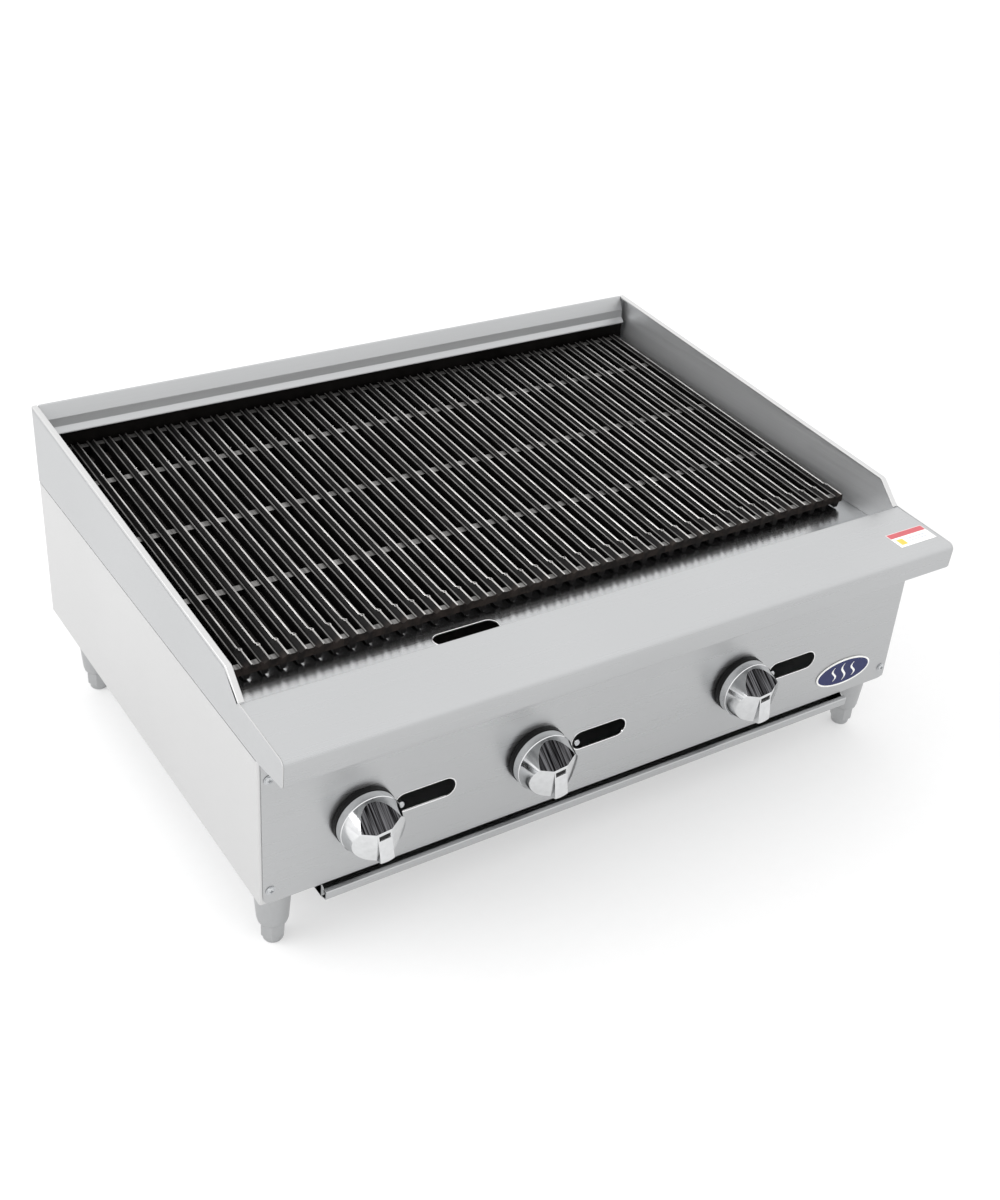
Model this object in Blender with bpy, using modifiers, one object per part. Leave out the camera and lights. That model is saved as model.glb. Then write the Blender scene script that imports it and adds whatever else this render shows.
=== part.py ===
"""Countertop gas charbroiler with six cast-iron grates, three burners and a drip tray.

Metres, +Z up. X runs to the right, Y to the back. The origin is the middle of the footprint, on the worktop.
"""

from math import atan2, cos, hypot, pi, radians, sin

import bmesh
import bpy
from mathutils import Matrix, Vector

# Overall sizes
WIDTH = 0.914
DEPTH = 0.702
BODY_HEIGHT = 0.300
LEG_HEIGHT = 0.086
SHEET = 0.0012
GAP = 0.0003

# Ledge, apron and splashes, measured down from the top of the splashes
LEDGE_OVERHANG = 0.0575
LEDGE_DEPTH = 0.100
LEDGE_REAR_DROP = 0.061
NOSE_DROP = 0.070
NOSE_RADIUS = 0.008
APRON_DROP = 0.098
SEAM_DROP = 0.1055
SPLASH_FRONT_DROP = 0.0335
SPLASH_FRONT_SET = 0.129
SPLASH_HEM = 0.007
FLANGE = 0.018
BACK_BANDS = ((0.0, 0.0), (0.008, 0.017), (0.0075, 0.0305), (0.015, 0.035))

# Control panel
PANEL_SIDE_REVEAL = 0.0035
KNOB_XS = (-0.3355, -0.1120, 0.1880)
KNOB_RISE = 0.078
SLOT_SHIFTS = (0.0775, 0.0881, 0.0875)
SLOT_LENGTH = 0.077
SLOT_HEIGHT = 0.0245
SLOT_RISE = 0.0748
STEM_HOLE_RADIUS = 0.0065
SCREW_EDGE = 0.012
SCREW_RISES = (0.018, 0.168)
SCREW_HEAD_RADIUS = 0.0045
SCREW_HEAD = 0.0025
BADGE_EDGE = 0.0843
BADGE_RISE = 0.035
BADGE_RADII = (0.0465, 0.0200)
BADGE_THICKNESS = 0.0015

# Knobs and gas train
KNOB_RADIUS = 0.037
KNOB_NECK_RADIUS = 0.034
KNOB_SKIRT = 0.014
KNOB_DEPTH = 0.034
GRIP_WIDTH = 0.017
GRIP_LENGTH = 0.056
BEZEL_RADIUS = 0.0375
BEZEL_THICKNESS = 0.0150
STEM_RADIUS = 0.004
STEM_INTO_VALVE = 0.014
VALVE_SIZE = (0.026, 0.030, 0.034)
MANIFOLD_RADIUS = 0.0105
MANIFOLD_SET = 0.040
MANIFOLD_BEND = 0.030
INLET_RADIUS = 0.016
INLET_LENGTH = 0.034

# Fire side
BURNER_RADIUS = 0.016
BURNER_LEG_SPREAD = 0.058
BURNER_RISE = 0.108
BURNER_COUNT = 3
BURNER_CLEARANCE = 0.0188
BURNER_SIDE_CLEARANCE = 0.0016
PILOT_RADIUS = 0.003
PILOT_SHIFT = 0.040
RADIANT_RISE = 0.048
RADIANT_SPACE = 0.032
RADIANT_HEIGHT = 0.030
FIREBOX_SET = 0.045
FIREBOX_BACK_SET = 0.030
FIREBOX_FLOOR_RISE = 0.022

# Grease trough
TROUGH_DROP = 0.0975
TROUGH_WIDTH = 0.100
TROUGH_BACK_LIP = 0.003
GREASE_SLOT_X = -0.158
GREASE_SLOT_LENGTH = 0.084
GREASE_SLOT_WIDTH = 0.022
GREASE_SLOT_SET = 0.047

# Grates
GRATE_COUNT = 6
BLADES = 7
BLADE_HALF = 0.0052
RIDGE = 0.0016
GROOVE_DEPTH = 0.0042
BLADE_DEPTH = 0.018
BLADE_FOOT_HALF = 0.0024
GRATE_SIDE_CLEARANCE = 0.0148
GRATE_FRONT_CLEARANCE = 0.075
GRATE_BACK_CLEARANCE = 0.019
GRATE_FRONT_DROP = 0.076
GRATE_RISE = 0.024
GRATE_SPACE = 0.0016
BRIDGE_PITCH = 0.137
BRIDGE_WIDTH = 0.010
BRIDGE_TOP = 0.0045
BRIDGE_BOTTOM = 0.0115
SUPPORT_HEIGHT = 0.014
SUPPORT_WIDTH = 0.016
SUPPORT_FRONT_SET = 0.036
SUPPORT_REAR_SET = 0.022

# Drip tray and rails
TRAY_FRONT_SET = 0.004
TRAY_BACK_SET = 0.0405
TRAY_FLOOR_DROP = 0.022
TRAY_FLANGE = 0.010
TRAY_RIM_DROP = 0.0050
TRAY_LIP_REACH = 0.012
TRAY_LIP_RISE = 0.012
RAIL_CLEARANCE = 0.0010
RAIL_REACH = 0.012
RAIL_FLANGE = 0.008
RAIL_LEG_CLEARANCE = 0.0018
FRAME_MARGIN = 0.050

# Legs
LEG_EDGE = 0.0295
LEG_INSET = 0.033
LEG_TOP_RADIUS = 0.0225
LEG_FOOT_RADIUS = 0.0170
LEG_BOTTOM = 0.028
FOOT_RADIUS = 0.0145
FOOT_STUD_RADIUS = 0.006
FOOT_STUD = 0.030
LEG_BORE_CLEARANCE = 0.0005

# Places worked out from the sizes
NOSE_Y = -DEPTH / 2
BACK_Y = DEPTH / 2
BOTTOM = LEG_HEIGHT
TOP = LEG_HEIGHT + BODY_HEIGHT
PANEL_Y = NOSE_Y + LEDGE_OVERHANG
INNER_X = WIDTH / 2 - SHEET
LEDGE_REAR_Y = NOSE_Y + LEDGE_DEPTH
TROUGH_BACK_Y = LEDGE_REAR_Y + TROUGH_WIDTH
TROUGH_Z = TOP - TROUGH_DROP
SEAM_Z = TOP - SEAM_DROP
KNOB_Z = BOTTOM + KNOB_RISE
GRATE_FRONT_Y = LEDGE_REAR_Y + GRATE_FRONT_CLEARANCE
GRATE_LENGTH = BACK_Y - GRATE_BACK_CLEARANCE - GRATE_FRONT_Y
GRATE_TILT = atan2(GRATE_RISE, GRATE_LENGTH)
GRATE_WIDTH = 2 * (INNER_X - GRATE_SIDE_CLEARANCE) / GRATE_COUNT
BLADE_PITCH = GRATE_WIDTH / BLADES
FIREBOX_HALF = INNER_X - FIREBOX_SET
FIREBOX_BACK_Y = BACK_Y - FIREBOX_BACK_SET
BURNER_PITCH = 2 * (FIREBOX_HALF - SHEET - BURNER_SIDE_CLEARANCE) / BURNER_COUNT
BURNER_BACK_Y = FIREBOX_BACK_Y - SHEET - BURNER_CLEARANCE - BURNER_RADIUS
BURNER_Z = BOTTOM + BURNER_RISE
MANIFOLD_Y = PANEL_Y + MANIFOLD_SET
REAR_SHEET_Y = BACK_Y - SHEET
SUPPORT_TOP = TOP - GRATE_FRONT_DROP - BLADE_DEPTH - GAP
FIREBOX_TOP = SUPPORT_TOP - SUPPORT_HEIGHT - 0.002
MANIFOLD_REAR_X = INNER_X - FIREBOX_SET / 2
SCREW_X = WIDTH / 2 - SCREW_EDGE
BADGE_X = WIDTH / 2 - BADGE_EDGE
LEG_X = WIDTH / 2 - LEG_EDGE
RAIL_X = LEG_X - LEG_TOP_RADIUS - RAIL_LEG_CLEARANCE - RAIL_FLANGE
TRAY_HALF = RAIL_X - RAIL_CLEARANCE - SHEET - TRAY_FLANGE
TRAY_FRONT_Y = PANEL_Y + TRAY_FRONT_SET
TRAY_BACK_Y = BACK_Y - TRAY_BACK_SET

STEEL = ("brushed_steel", (0.62, 0.62, 0.62), 0.35, 1.0)
GALVANISED = ("galvanised", (0.45, 0.46, 0.47), 0.5, 1.0)
IRON = ("cast_iron", (0.03, 0.028, 0.027), 0.6, 0.6)
CHROME = ("chrome", (0.8, 0.8, 0.8), 0.12, 1.0)
BRASS = ("brass", (0.6, 0.42, 0.16), 0.35, 1.0)
BLACK = ("black_enamel", (0.012, 0.012, 0.013), 0.4, 0.0)
BADGE_BLUE = ("badge_blue", (0.02, 0.035, 0.13), 0.3, 0.0)


def material(kind):
    name, colour, roughness, metallic = kind
    made = bpy.data.materials.get(name)
    if made is None:
        made = bpy.data.materials.new(name)
        made.use_nodes = True
        shader = made.node_tree.nodes["Principled BSDF"]
        shader.inputs["Base Color"].default_value = (*colour, 1)
        shader.inputs["Roughness"].default_value = roughness
        shader.inputs["Metallic"].default_value = metallic
    return made


def add(name, data, kind):
    """Put an object with this data in the grill's collection."""
    obj = bpy.data.objects.new(name, data)
    PARTS.objects.link(obj)
    data.materials.clear()
    data.materials.append(material(kind))
    return obj


def add_cutter(name, bm):
    mesh = bpy.data.meshes.new(name)
    bm.to_mesh(mesh)
    bm.free()
    obj = bpy.data.objects.new(name, mesh)
    CUTTERS.objects.link(obj)
    obj.hide_render = True
    obj.display_type = "WIRE"
    return obj


def add_box(bm, low, high):
    size = Vector(high) - Vector(low)
    middle = (Vector(high) + Vector(low)) / 2
    place = Matrix.Translation(middle) @ Matrix.Diagonal((*size, 1))
    bmesh.ops.create_cube(bm, size=1, matrix=place)


def box(name, low, high, kind):
    bm = bmesh.new()
    middle = (Vector(high) + Vector(low)) / 2
    add_box(bm, Vector(low) - middle, Vector(high) - middle)
    mesh = bpy.data.meshes.new(name)
    bm.to_mesh(mesh)
    bm.free()
    obj = add(name, mesh, kind)
    obj.location = middle
    return obj


def boolean(obj, other, operation="DIFFERENCE"):
    step = obj.modifiers.new(operation.lower(), "BOOLEAN")
    step.object = other
    step.operation = operation


def solidify(obj, thickness, offset):
    step = obj.modifiers.new("sheet", "SOLIDIFY")
    step.thickness = thickness
    step.offset = offset
    step.use_even_offset = True
    step.use_quality_normals = True


def turned(name, profile, kind, steps=24):
    """A solid turned about its own Z: the profile runs from the top of its outside to the bottom."""
    bm = bmesh.new()
    points = [bm.verts.new((radius, 0, height)) for radius, height in profile]
    for a, b in zip(points, points[1:]):
        bm.edges.new((a, b))
    mesh = bpy.data.meshes.new(name)
    bm.to_mesh(mesh)
    bm.free()
    obj = add(name, mesh, kind)
    step = obj.modifiers.new("turn", "SCREW")
    step.steps = steps
    step.render_steps = steps
    step.use_merge_vertices = True
    step.merge_threshold = 0.0001
    step.use_smooth_shade = True
    return obj


def folded(name, profile, half_width, kind, offset=-1):
    """A sheet folded along X to a profile in Y and Z; offset 1 puts its thickness on the face's side, -1 behind."""
    bm = bmesh.new()
    rows = []
    for x in (-half_width, half_width):
        rows.append([bm.verts.new((x, y, z)) for y, z in profile])
    for k in range(len(profile) - 1):
        bm.faces.new((rows[0][k], rows[0][k + 1], rows[1][k + 1], rows[1][k]))
    mesh = bpy.data.meshes.new(name)
    bm.to_mesh(mesh)
    bm.free()
    obj = add(name, mesh, kind)
    solidify(obj, SHEET, offset)
    return obj


def curve_tube(name, points, radius, kind, sides=3):
    curve = bpy.data.curves.new(name, "CURVE")
    curve.dimensions = "3D"
    curve.bevel_depth = radius
    curve.bevel_resolution = sides
    curve.use_fill_caps = True
    spline = curve.splines.new("POLY")
    spline.points.add(len(points) - 1)
    for point, place in zip(spline.points, points):
        point.co = (*place, 1)
    return add(name, curve, kind)


def as_mesh(obj):
    """The curve's own shape as a mesh object, so that it can be cut or joined."""
    shape = bpy.data.meshes.new_from_object(obj.evaluated_get(bpy.context.evaluated_depsgraph_get()))
    bm = bmesh.new()
    bm.from_mesh(shape)
    bmesh.ops.remove_doubles(bm, verts=bm.verts, dist=0.00001)
    bmesh.ops.recalc_face_normals(bm, faces=bm.faces)
    bm.to_mesh(shape)
    bm.free()
    name = obj.name
    place = obj.matrix_world.copy()
    bpy.data.objects.remove(obj)
    made = bpy.data.objects.new(name, shape)
    made.matrix_world = place
    PARTS.objects.link(made)
    return made


def arc(centre, radius, start, end, count):
    """Points along an arc, in degrees, counter-clockwise from the first axis."""
    turns = [radians(start + (end - start) * k / count) for k in range(count + 1)]
    return [(centre[0] + radius * cos(t), centre[1] + radius * sin(t)) for t in turns]


def slot_outline(centre, length, height, count=6):
    reach = (length - height) / 2
    right = arc((centre[0] + reach, centre[1]), height / 2, -90, 90, count)
    left = arc((centre[0] - reach, centre[1]), height / 2, 90, 270, count)
    return right + left


def plate(name, outlines, thickness, kind):
    """A flat plate in its own XY plane: the first outline is its edge and the others are holes."""
    curve = bpy.data.curves.new(name, "CURVE")
    curve.dimensions = "2D"
    curve.fill_mode = "BOTH"
    curve.extrude = thickness / 2
    for outline in outlines:
        spline = curve.splines.new("POLY")
        spline.points.add(len(outline) - 1)
        spline.use_cyclic_u = True
        for point, place in zip(spline.points, outline):
            point.co = (*place, 0, 1)
    return add(name, curve, kind)


def rectangle(low, high, radius=0.0, count=4):
    """A rectangle, with its four corners rounded when a radius is given."""
    if radius == 0:
        return [low, (high[0], low[1]), high, (low[0], high[1])]
    corners = (
        (high[0] - radius, low[1] + radius, -90),
        (high[0] - radius, high[1] - radius, 0),
        (low[0] + radius, high[1] - radius, 90),
        (low[0] + radius, low[1] + radius, 180),
    )
    return [point for x, y, start in corners for point in arc((x, y), radius, start, start + 90, count)]


def side_sheet(name, side, outline, flanged, reach, mitre):
    """A side sheet from its outline in Y and Z; each flanged edge, by its first point, is folded inwards by reach."""
    bm = bmesh.new()
    x = side * (WIDTH / 2 - SHEET / 2)
    verts = [bm.verts.new((x, y, z)) for y, z in outline]
    bm.faces.new(verts)
    for first in flanged:
        pair = (verts[first], verts[(first + 1) % len(verts)])
        along = (pair[1].co - pair[0].co).normalized() * mitre
        inward = Vector((-side * reach, 0, 0))
        inner = [bm.verts.new(pair[0].co + inward + along), bm.verts.new(pair[1].co + inward - along)]
        bm.faces.new((pair[1], pair[0], inner[0], inner[1]))
    bmesh.ops.recalc_face_normals(bm, faces=bm.faces)
    mesh = bpy.data.meshes.new(name)
    bm.to_mesh(mesh)
    bm.free()
    obj = add(name, mesh, STEEL)
    solidify(obj, SHEET, 0)
    return obj


def side_panels():
    """The lower side skins, with flanges at the front and the bottom."""
    half = SHEET / 2
    front = PANEL_Y + SHEET + GAP + half
    back = REAR_SHEET_Y - GAP - half
    low = BOTTOM + half
    high = SEAM_Z - GAP
    outline = [(front, low), (back, low), (back, high), (front, high)]
    for name, side in (("side_panel_left", -1), ("side_panel_right", 1)):
        side_sheet(name, side, outline, (0, 3), FLANGE, FLANGE + SHEET)


def side_splashes():
    """The upper sides: a sloping splash with a hemmed top, running forward to close the end of the ledge."""
    half = SHEET / 2
    front_y = NOSE_Y + SPLASH_FRONT_SET
    front_z = TOP - SPLASH_FRONT_DROP
    outline = [
        (BACK_Y, SEAM_Z),
        (BACK_Y, TOP - half),
        (front_y + 0.010, front_z - half),
        (front_y, front_z - 0.003),
        (LEDGE_REAR_Y - 0.001, TOP - LEDGE_REAR_DROP + 0.0008),
        (NOSE_Y + 2 * NOSE_RADIUS, TOP - NOSE_DROP + NOSE_RADIUS * 0.55),
        (NOSE_Y, TOP - NOSE_DROP - NOSE_RADIUS * 0.4),
        (NOSE_Y + 0.001, TOP - APRON_DROP),
        (PANEL_Y, SEAM_Z),
    ]
    for name, side in (("side_splash_left", -1), ("side_splash_right", 1)):
        side_sheet(name, side, outline, (1,), SPLASH_HEM, 0)


def back_splash():
    """The back splash: a leaning top band, a recessed band and a lip, folded down behind the firebox."""
    half = INNER_X - GAP - SPLASH_HEM
    profile = [(BACK_Y, TOP - SHEET)]
    profile += [(BACK_Y - SHEET - GAP - forward, TOP - SHEET - drop) for forward, drop in BACK_BANDS]
    profile.append((profile[-1][0], SEAM_Z - 0.010))
    folded("back_splash", profile, half, STEEL, 1)


def rear_panel():
    """The back sheet, with a hole for the gas inlet; it fits between the side splashes' rear edges."""
    edge = rectangle((-INNER_X + GAP, BOTTOM + GAP), (INNER_X - GAP, TOP - SHEET - 2 * GAP))
    hole = arc((MANIFOLD_REAR_X, KNOB_Z), INLET_RADIUS + 0.002, 0, 345, 23)
    obj = plate("rear_panel", [edge, hole], SHEET, GALVANISED)
    obj.rotation_euler = (pi / 2, 0, 0)
    obj.location = (0, BACK_Y - SHEET / 2, 0)


def base_frame():
    """The bottom plate: a ring over the side panels' flanges, open over the drip tray."""
    low = BOTTOM + SHEET + GAP
    edge = rectangle((-INNER_X + GAP, PANEL_Y + 2 * SHEET + 2 * GAP), (INNER_X - GAP, REAR_SHEET_Y - SHEET - 2 * GAP))
    hole = rectangle(
        (-TRAY_HALF + FRAME_MARGIN, PANEL_Y + 2 * FRAME_MARGIN),
        (TRAY_HALF - FRAME_MARGIN, TRAY_BACK_Y - TRAY_FRONT_SET - FRAME_MARGIN),
        0.012,
    )
    obj = plate("base_frame", [edge, hole], SHEET, GALVANISED)
    obj.location = (0, 0, low + SHEET / 2)


def control_panel():
    """The front panel, with its stem holes and its lighting slots."""
    side = WIDTH / 2 - PANEL_SIDE_REVEAL
    outlines = [rectangle((-side, BOTTOM), (side, TOP - APRON_DROP + 0.002), 0.008)]
    for x, shift in zip(KNOB_XS, SLOT_SHIFTS):
        outlines.append(arc((x, KNOB_Z), STEM_HOLE_RADIUS, 0, 330, 11))
        outlines.append(slot_outline((x + shift, BOTTOM + SLOT_RISE), SLOT_LENGTH, SLOT_HEIGHT))
    obj = plate("control_panel", outlines, SHEET, STEEL)
    obj.rotation_euler = (pi / 2, 0, 0)
    obj.location = (0, PANEL_Y + SHEET / 2, 0)


def front_ledge():
    """The front ledge: a flange into the trough, a top that slopes forward, a rounded nose and an apron."""
    top_z = TOP - LEDGE_REAR_DROP
    nose = (NOSE_Y + NOSE_RADIUS, TOP - NOSE_DROP - NOSE_RADIUS * 0.35)
    bend = arc(nose, NOSE_RADIUS, 95, 180, 5)
    profile = [(LEDGE_REAR_Y, TROUGH_Z + 0.014), (LEDGE_REAR_Y, top_z)]
    profile += bend
    profile += [(NOSE_Y + 0.0012, TOP - APRON_DROP), (PANEL_Y - GAP - SHEET, TOP - APRON_DROP - 0.003)]
    folded("front_ledge", profile, INNER_X - GAP, STEEL)


def grease_trough():
    """The trough between the ledge and the grates, with a slot that drains to the drip tray."""
    front = LEDGE_REAR_Y + GAP
    profile = [
        (front, TROUGH_Z + 0.022),
        (front, TROUGH_Z),
        (TROUGH_BACK_Y, TROUGH_Z),
        (TROUGH_BACK_Y, TROUGH_Z + TROUGH_BACK_LIP),
    ]
    obj = folded("grease_trough", profile, INNER_X - GAP, STEEL)
    outline = slot_outline((GREASE_SLOT_X, front + GREASE_SLOT_SET), GREASE_SLOT_LENGTH, GREASE_SLOT_WIDTH)
    bm = bmesh.new()
    floor = bm.faces.new([bm.verts.new((x, y, TROUGH_Z - 0.01)) for x, y in outline])
    raised = bmesh.ops.extrude_face_region(bm, geom=[floor])
    bmesh.ops.translate(bm, vec=(0, 0, 0.02), verts=[v for v in raised["geom"] if isinstance(v, bmesh.types.BMVert)])
    bmesh.ops.recalc_face_normals(bm, faces=bm.faces)
    boolean(obj, add_cutter("grease_slot_cutter", bm))


def firebox():
    """The ring of sheet round the burners."""
    low = (-FIREBOX_HALF, TROUGH_BACK_Y + SHEET + 0.002)
    high = (FIREBOX_HALF, FIREBOX_BACK_Y)
    inner_low = (low[0] + SHEET, low[1] + SHEET)
    inner_high = (high[0] - SHEET, high[1] - SHEET)
    height = FIREBOX_TOP - (BOTTOM + FIREBOX_FLOOR_RISE)
    obj = plate("firebox", [rectangle(low, high), rectangle(inner_low, inner_high)], height, GALVANISED)
    obj.location = (0, 0, FIREBOX_TOP - height / 2)
    obj = as_mesh(obj)
    bm = bmesh.new()
    for x in KNOB_XS:
        add_box(
            bm,
            (x - BURNER_RADIUS - 0.004, low[1] - 0.01, BURNER_Z - BURNER_RADIUS - 0.004),
            (x + BURNER_RADIUS + PILOT_SHIFT + 0.004, low[1] + 0.01, BURNER_Z + BURNER_RADIUS + 0.004),
        )
    boolean(obj, add_cutter("firebox_burner_cutter", bm))


def burner_path(knob_x, centre_x):
    """A burner's line in plan: in behind its valve, across to its first leg, round the back and forward again."""
    front = TROUGH_BACK_Y + 0.050
    left = centre_x - BURNER_LEG_SPREAD
    points = [(knob_x, MANIFOLD_Y + 0.052), (knob_x, TROUGH_BACK_Y + 0.018)]
    points += [(left, front + 0.020)]
    turn = arc((centre_x, BURNER_BACK_Y - BURNER_LEG_SPREAD), BURNER_LEG_SPREAD, 180, 0, 10)
    points += turn
    points.append((centre_x + BURNER_LEG_SPREAD, front))
    return [(x, y, BURNER_Z) for x, y in points]


def burners():
    """Three burners, each a tube bent into a U, with a pilot pipe beside it and a radiant above it."""
    names = ("left", "middle", "right")
    for k, (name, knob_x) in enumerate(zip(names, KNOB_XS)):
        centre = (k - 1) * BURNER_PITCH
        curve_tube(f"burner_{name}", burner_path(knob_x, centre), BURNER_RADIUS, IRON, 2)
        pilot_x = knob_x + PILOT_SHIFT
        pilot_z = BOTTOM + SLOT_RISE - 0.004
        over = KNOB_Z + MANIFOLD_RADIUS + PILOT_RADIUS + 0.003
        beside = MANIFOLD_RADIUS + PILOT_RADIUS + 0.002
        pilot = [
            (pilot_x, PANEL_Y + 0.010, pilot_z),
            (pilot_x, MANIFOLD_Y - beside, pilot_z),
            (pilot_x, MANIFOLD_Y - beside, over),
            (pilot_x, MANIFOLD_Y + beside, over),
            (pilot_x, TROUGH_BACK_Y - 0.010, BURNER_Z + 0.004),
            (pilot_x, TROUGH_BACK_Y + 0.022, BURNER_Z + 0.004),
        ]
        curve_tube(f"pilot_{name}", pilot, PILOT_RADIUS, BRASS, 1)
        radiant(f"radiant_{name}", centre)


def radiant(name, centre):
    """A ridged cover that stands over a burner, folded along Y, hung on the firebox's front and back."""
    low = BURNER_Z + RADIANT_RISE
    half = (BURNER_PITCH - RADIANT_SPACE) / 2
    length = FIREBOX_BACK_Y - 0.004 - (TROUGH_BACK_Y + SHEET * 2 + 0.006)
    profile = [
        (-half, low),
        (-BURNER_LEG_SPREAD, low + RADIANT_HEIGHT),
        (0, low),
        (BURNER_LEG_SPREAD, low + RADIANT_HEIGHT),
        (half, low),
    ]
    obj = folded(name, profile, length / 2, IRON, 1)
    obj.rotation_euler = (0, 0, pi / 2)
    obj.location = (centre, TROUGH_BACK_Y + SHEET * 2 + 0.006 + length / 2, 0)


def gas_train():
    """The manifold behind the panel, its inlet at the back, and a valve for each burner."""
    side = MANIFOLD_REAR_X
    first = (KNOB_XS[0] - 0.030, MANIFOLD_Y, KNOB_Z)
    bend = arc((side - MANIFOLD_BEND, MANIFOLD_Y + MANIFOLD_BEND), MANIFOLD_BEND, -90, 0, 6)
    path = [first] + [(x, y, KNOB_Z) for x, y in bend]
    path.append((side, BACK_Y - INLET_LENGTH - 0.002, KNOB_Z))
    curve_tube("gas_manifold", path, MANIFOLD_RADIUS, GALVANISED, 2)
    inlet = turned(
        "gas_inlet",
        [(0.0, INLET_LENGTH), (INLET_RADIUS, INLET_LENGTH), (INLET_RADIUS, 0), (0.0, 0)],
        BRASS,
        12,
    )
    inlet.rotation_euler = (-pi / 2, 0, 0)
    inlet.location = (side, BACK_Y - INLET_LENGTH - 0.0005, KNOB_Z)
    for name, x in zip(("left", "middle", "right"), KNOB_XS):
        valve(name, x)


def valve(name, x):
    """A valve body on the front of the manifold, bored for the knob's stem."""
    width, length, height = VALVE_SIZE
    back = MANIFOLD_Y - MANIFOLD_RADIUS - GAP
    front = back - length + 0.008
    obj = box(f"gas_valve_{name}", (x - width / 2, front, KNOB_Z - height / 2), (x + width / 2, back, KNOB_Z + height / 2), BRASS)
    bm = bmesh.new()
    bmesh.ops.create_cone(
        bm, cap_ends=True, segments=16, radius1=STEM_RADIUS + 0.0006, radius2=STEM_RADIUS + 0.0006, depth=0.036,
        matrix=Matrix.Translation((x, front, KNOB_Z)) @ Matrix.Rotation(pi / 2, 4, "X"),
    )
    boolean(obj, add_cutter(f"valve_bore_{name}", bm))


def knobs():
    """Each knob turns on its axis, with its stem; a black collar stands behind it on the panel."""
    for name, x in zip(("left", "middle", "right"), KNOB_XS):
        ring_back = PANEL_Y - GAP
        ring = turned(
            f"knob_bezel_{name}",
            [
                (STEM_HOLE_RADIUS, BEZEL_THICKNESS),
                (BEZEL_RADIUS - 0.001, BEZEL_THICKNESS),
                (BEZEL_RADIUS, 0),
                (STEM_HOLE_RADIUS, 0),
                (STEM_HOLE_RADIUS, BEZEL_THICKNESS),
            ],
            BLACK,
        )
        ring.rotation_euler = (pi / 2, 0, 0)
        ring.location = (x, ring_back, KNOB_Z)
        face = ring_back - BEZEL_THICKNESS - 0.0006
        knob = turned(
            f"knob_{name}",
            [(0, KNOB_SKIRT), (KNOB_NECK_RADIUS, KNOB_SKIRT), (KNOB_RADIUS, 0.001), (KNOB_RADIUS, 0), (0, 0)],
            CHROME,
        )
        knob.rotation_euler = (pi / 2, 0, 0)
        knob.location = (x, face, KNOB_Z)
        bm = bmesh.new()
        add_box(bm, (-GRIP_WIDTH / 2, -GRIP_LENGTH / 2, KNOB_SKIRT / 2), (GRIP_WIDTH / 2, GRIP_LENGTH / 2, KNOB_DEPTH))
        grip = add_cutter(f"knob_grip_{name}", bm)
        grip.parent = knob
        boolean(knob, grip, "UNION")
        stem_length = MANIFOLD_Y - MANIFOLD_RADIUS - 0.010 - face - GAP
        stem = turned(
            f"valve_stem_{name}",
            [(0, 0), (STEM_RADIUS, 0), (STEM_RADIUS, -stem_length), (0, -stem_length)],
            STEEL,
            12,
        )
        stem.rotation_euler = (pi / 2, 0, 0)
        stem.location = (x, face + GAP, KNOB_Z)


def trim():
    """The panel's screws and its oval badge."""
    for side, side_name in ((-1, "left"), (1, "right")):
        for rise, rise_name in zip(SCREW_RISES, ("low", "high")):
            screw = turned(
                f"panel_screw_{side_name}_{rise_name}",
                [(0, SCREW_HEAD), (SCREW_HEAD_RADIUS * 0.7, SCREW_HEAD), (SCREW_HEAD_RADIUS, 0.0007), (SCREW_HEAD_RADIUS, 0), (0, 0)],
                STEEL,
                12,
            )
            screw.rotation_euler = (pi / 2, 0, 0)
            screw.location = (side * SCREW_X, PANEL_Y - GAP, BOTTOM + rise)
    oval = [(BADGE_RADII[0] * cos(t), BADGE_RADII[1] * sin(t)) for t in [2 * pi * k / 32 for k in range(32)]]
    badge = plate("badge", [oval], BADGE_THICKNESS, BADGE_BLUE)
    badge.rotation_euler = (pi / 2, 0, 0)
    badge.location = (BADGE_X, PANEL_Y - GAP - BADGE_THICKNESS / 2, BOTTOM + BADGE_RISE)


def grate_mesh():
    """One grate from above its front left corner: grooved blades along Y, joined by lower cross bridges."""
    bm = bmesh.new()
    section = [
        (-BLADE_HALF, 0),
        (-BLADE_HALF + RIDGE, 0),
        (0, -GROOVE_DEPTH),
        (BLADE_HALF - RIDGE, 0),
        (BLADE_HALF, 0),
        (BLADE_FOOT_HALF, -BLADE_DEPTH),
        (-BLADE_FOOT_HALF, -BLADE_DEPTH),
    ]
    for k in range(BLADES):
        x = (k + 0.5) * BLADE_PITCH
        ends = [[bm.verts.new((x + dx, y, z)) for dx, z in section] for y in (0, GRATE_LENGTH)]
        bm.faces.new(ends[0])
        bm.faces.new(ends[1])
        for a in range(len(section)):
            b = (a + 1) % len(section)
            bm.faces.new((ends[0][a], ends[1][a], ends[1][b], ends[0][b]))
    bmesh.ops.recalc_face_normals(bm, faces=bm.faces)
    mesh = bpy.data.meshes.new("grate_blades")
    bm.to_mesh(mesh)
    bm.free()
    bars = bmesh.new()
    reach = (GRATE_SPACE / 2, GRATE_WIDTH - GRATE_SPACE / 2)
    add_box(bars, (reach[0], 0.0005, -BRIDGE_BOTTOM), (reach[1], 0.006, -0.0022))
    for k in range(1, int(GRATE_LENGTH / BRIDGE_PITCH) + 1):
        y = k * BRIDGE_PITCH
        add_box(bars, (reach[0], y - BRIDGE_WIDTH / 2, -BRIDGE_BOTTOM), (reach[1], y + BRIDGE_WIDTH / 2, -BRIDGE_TOP))
    add_box(bars, (reach[0], GRATE_LENGTH - 0.008, -BRIDGE_BOTTOM), (reach[1], GRATE_LENGTH - 0.0005, -BRIDGE_TOP))
    return mesh, bars


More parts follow.
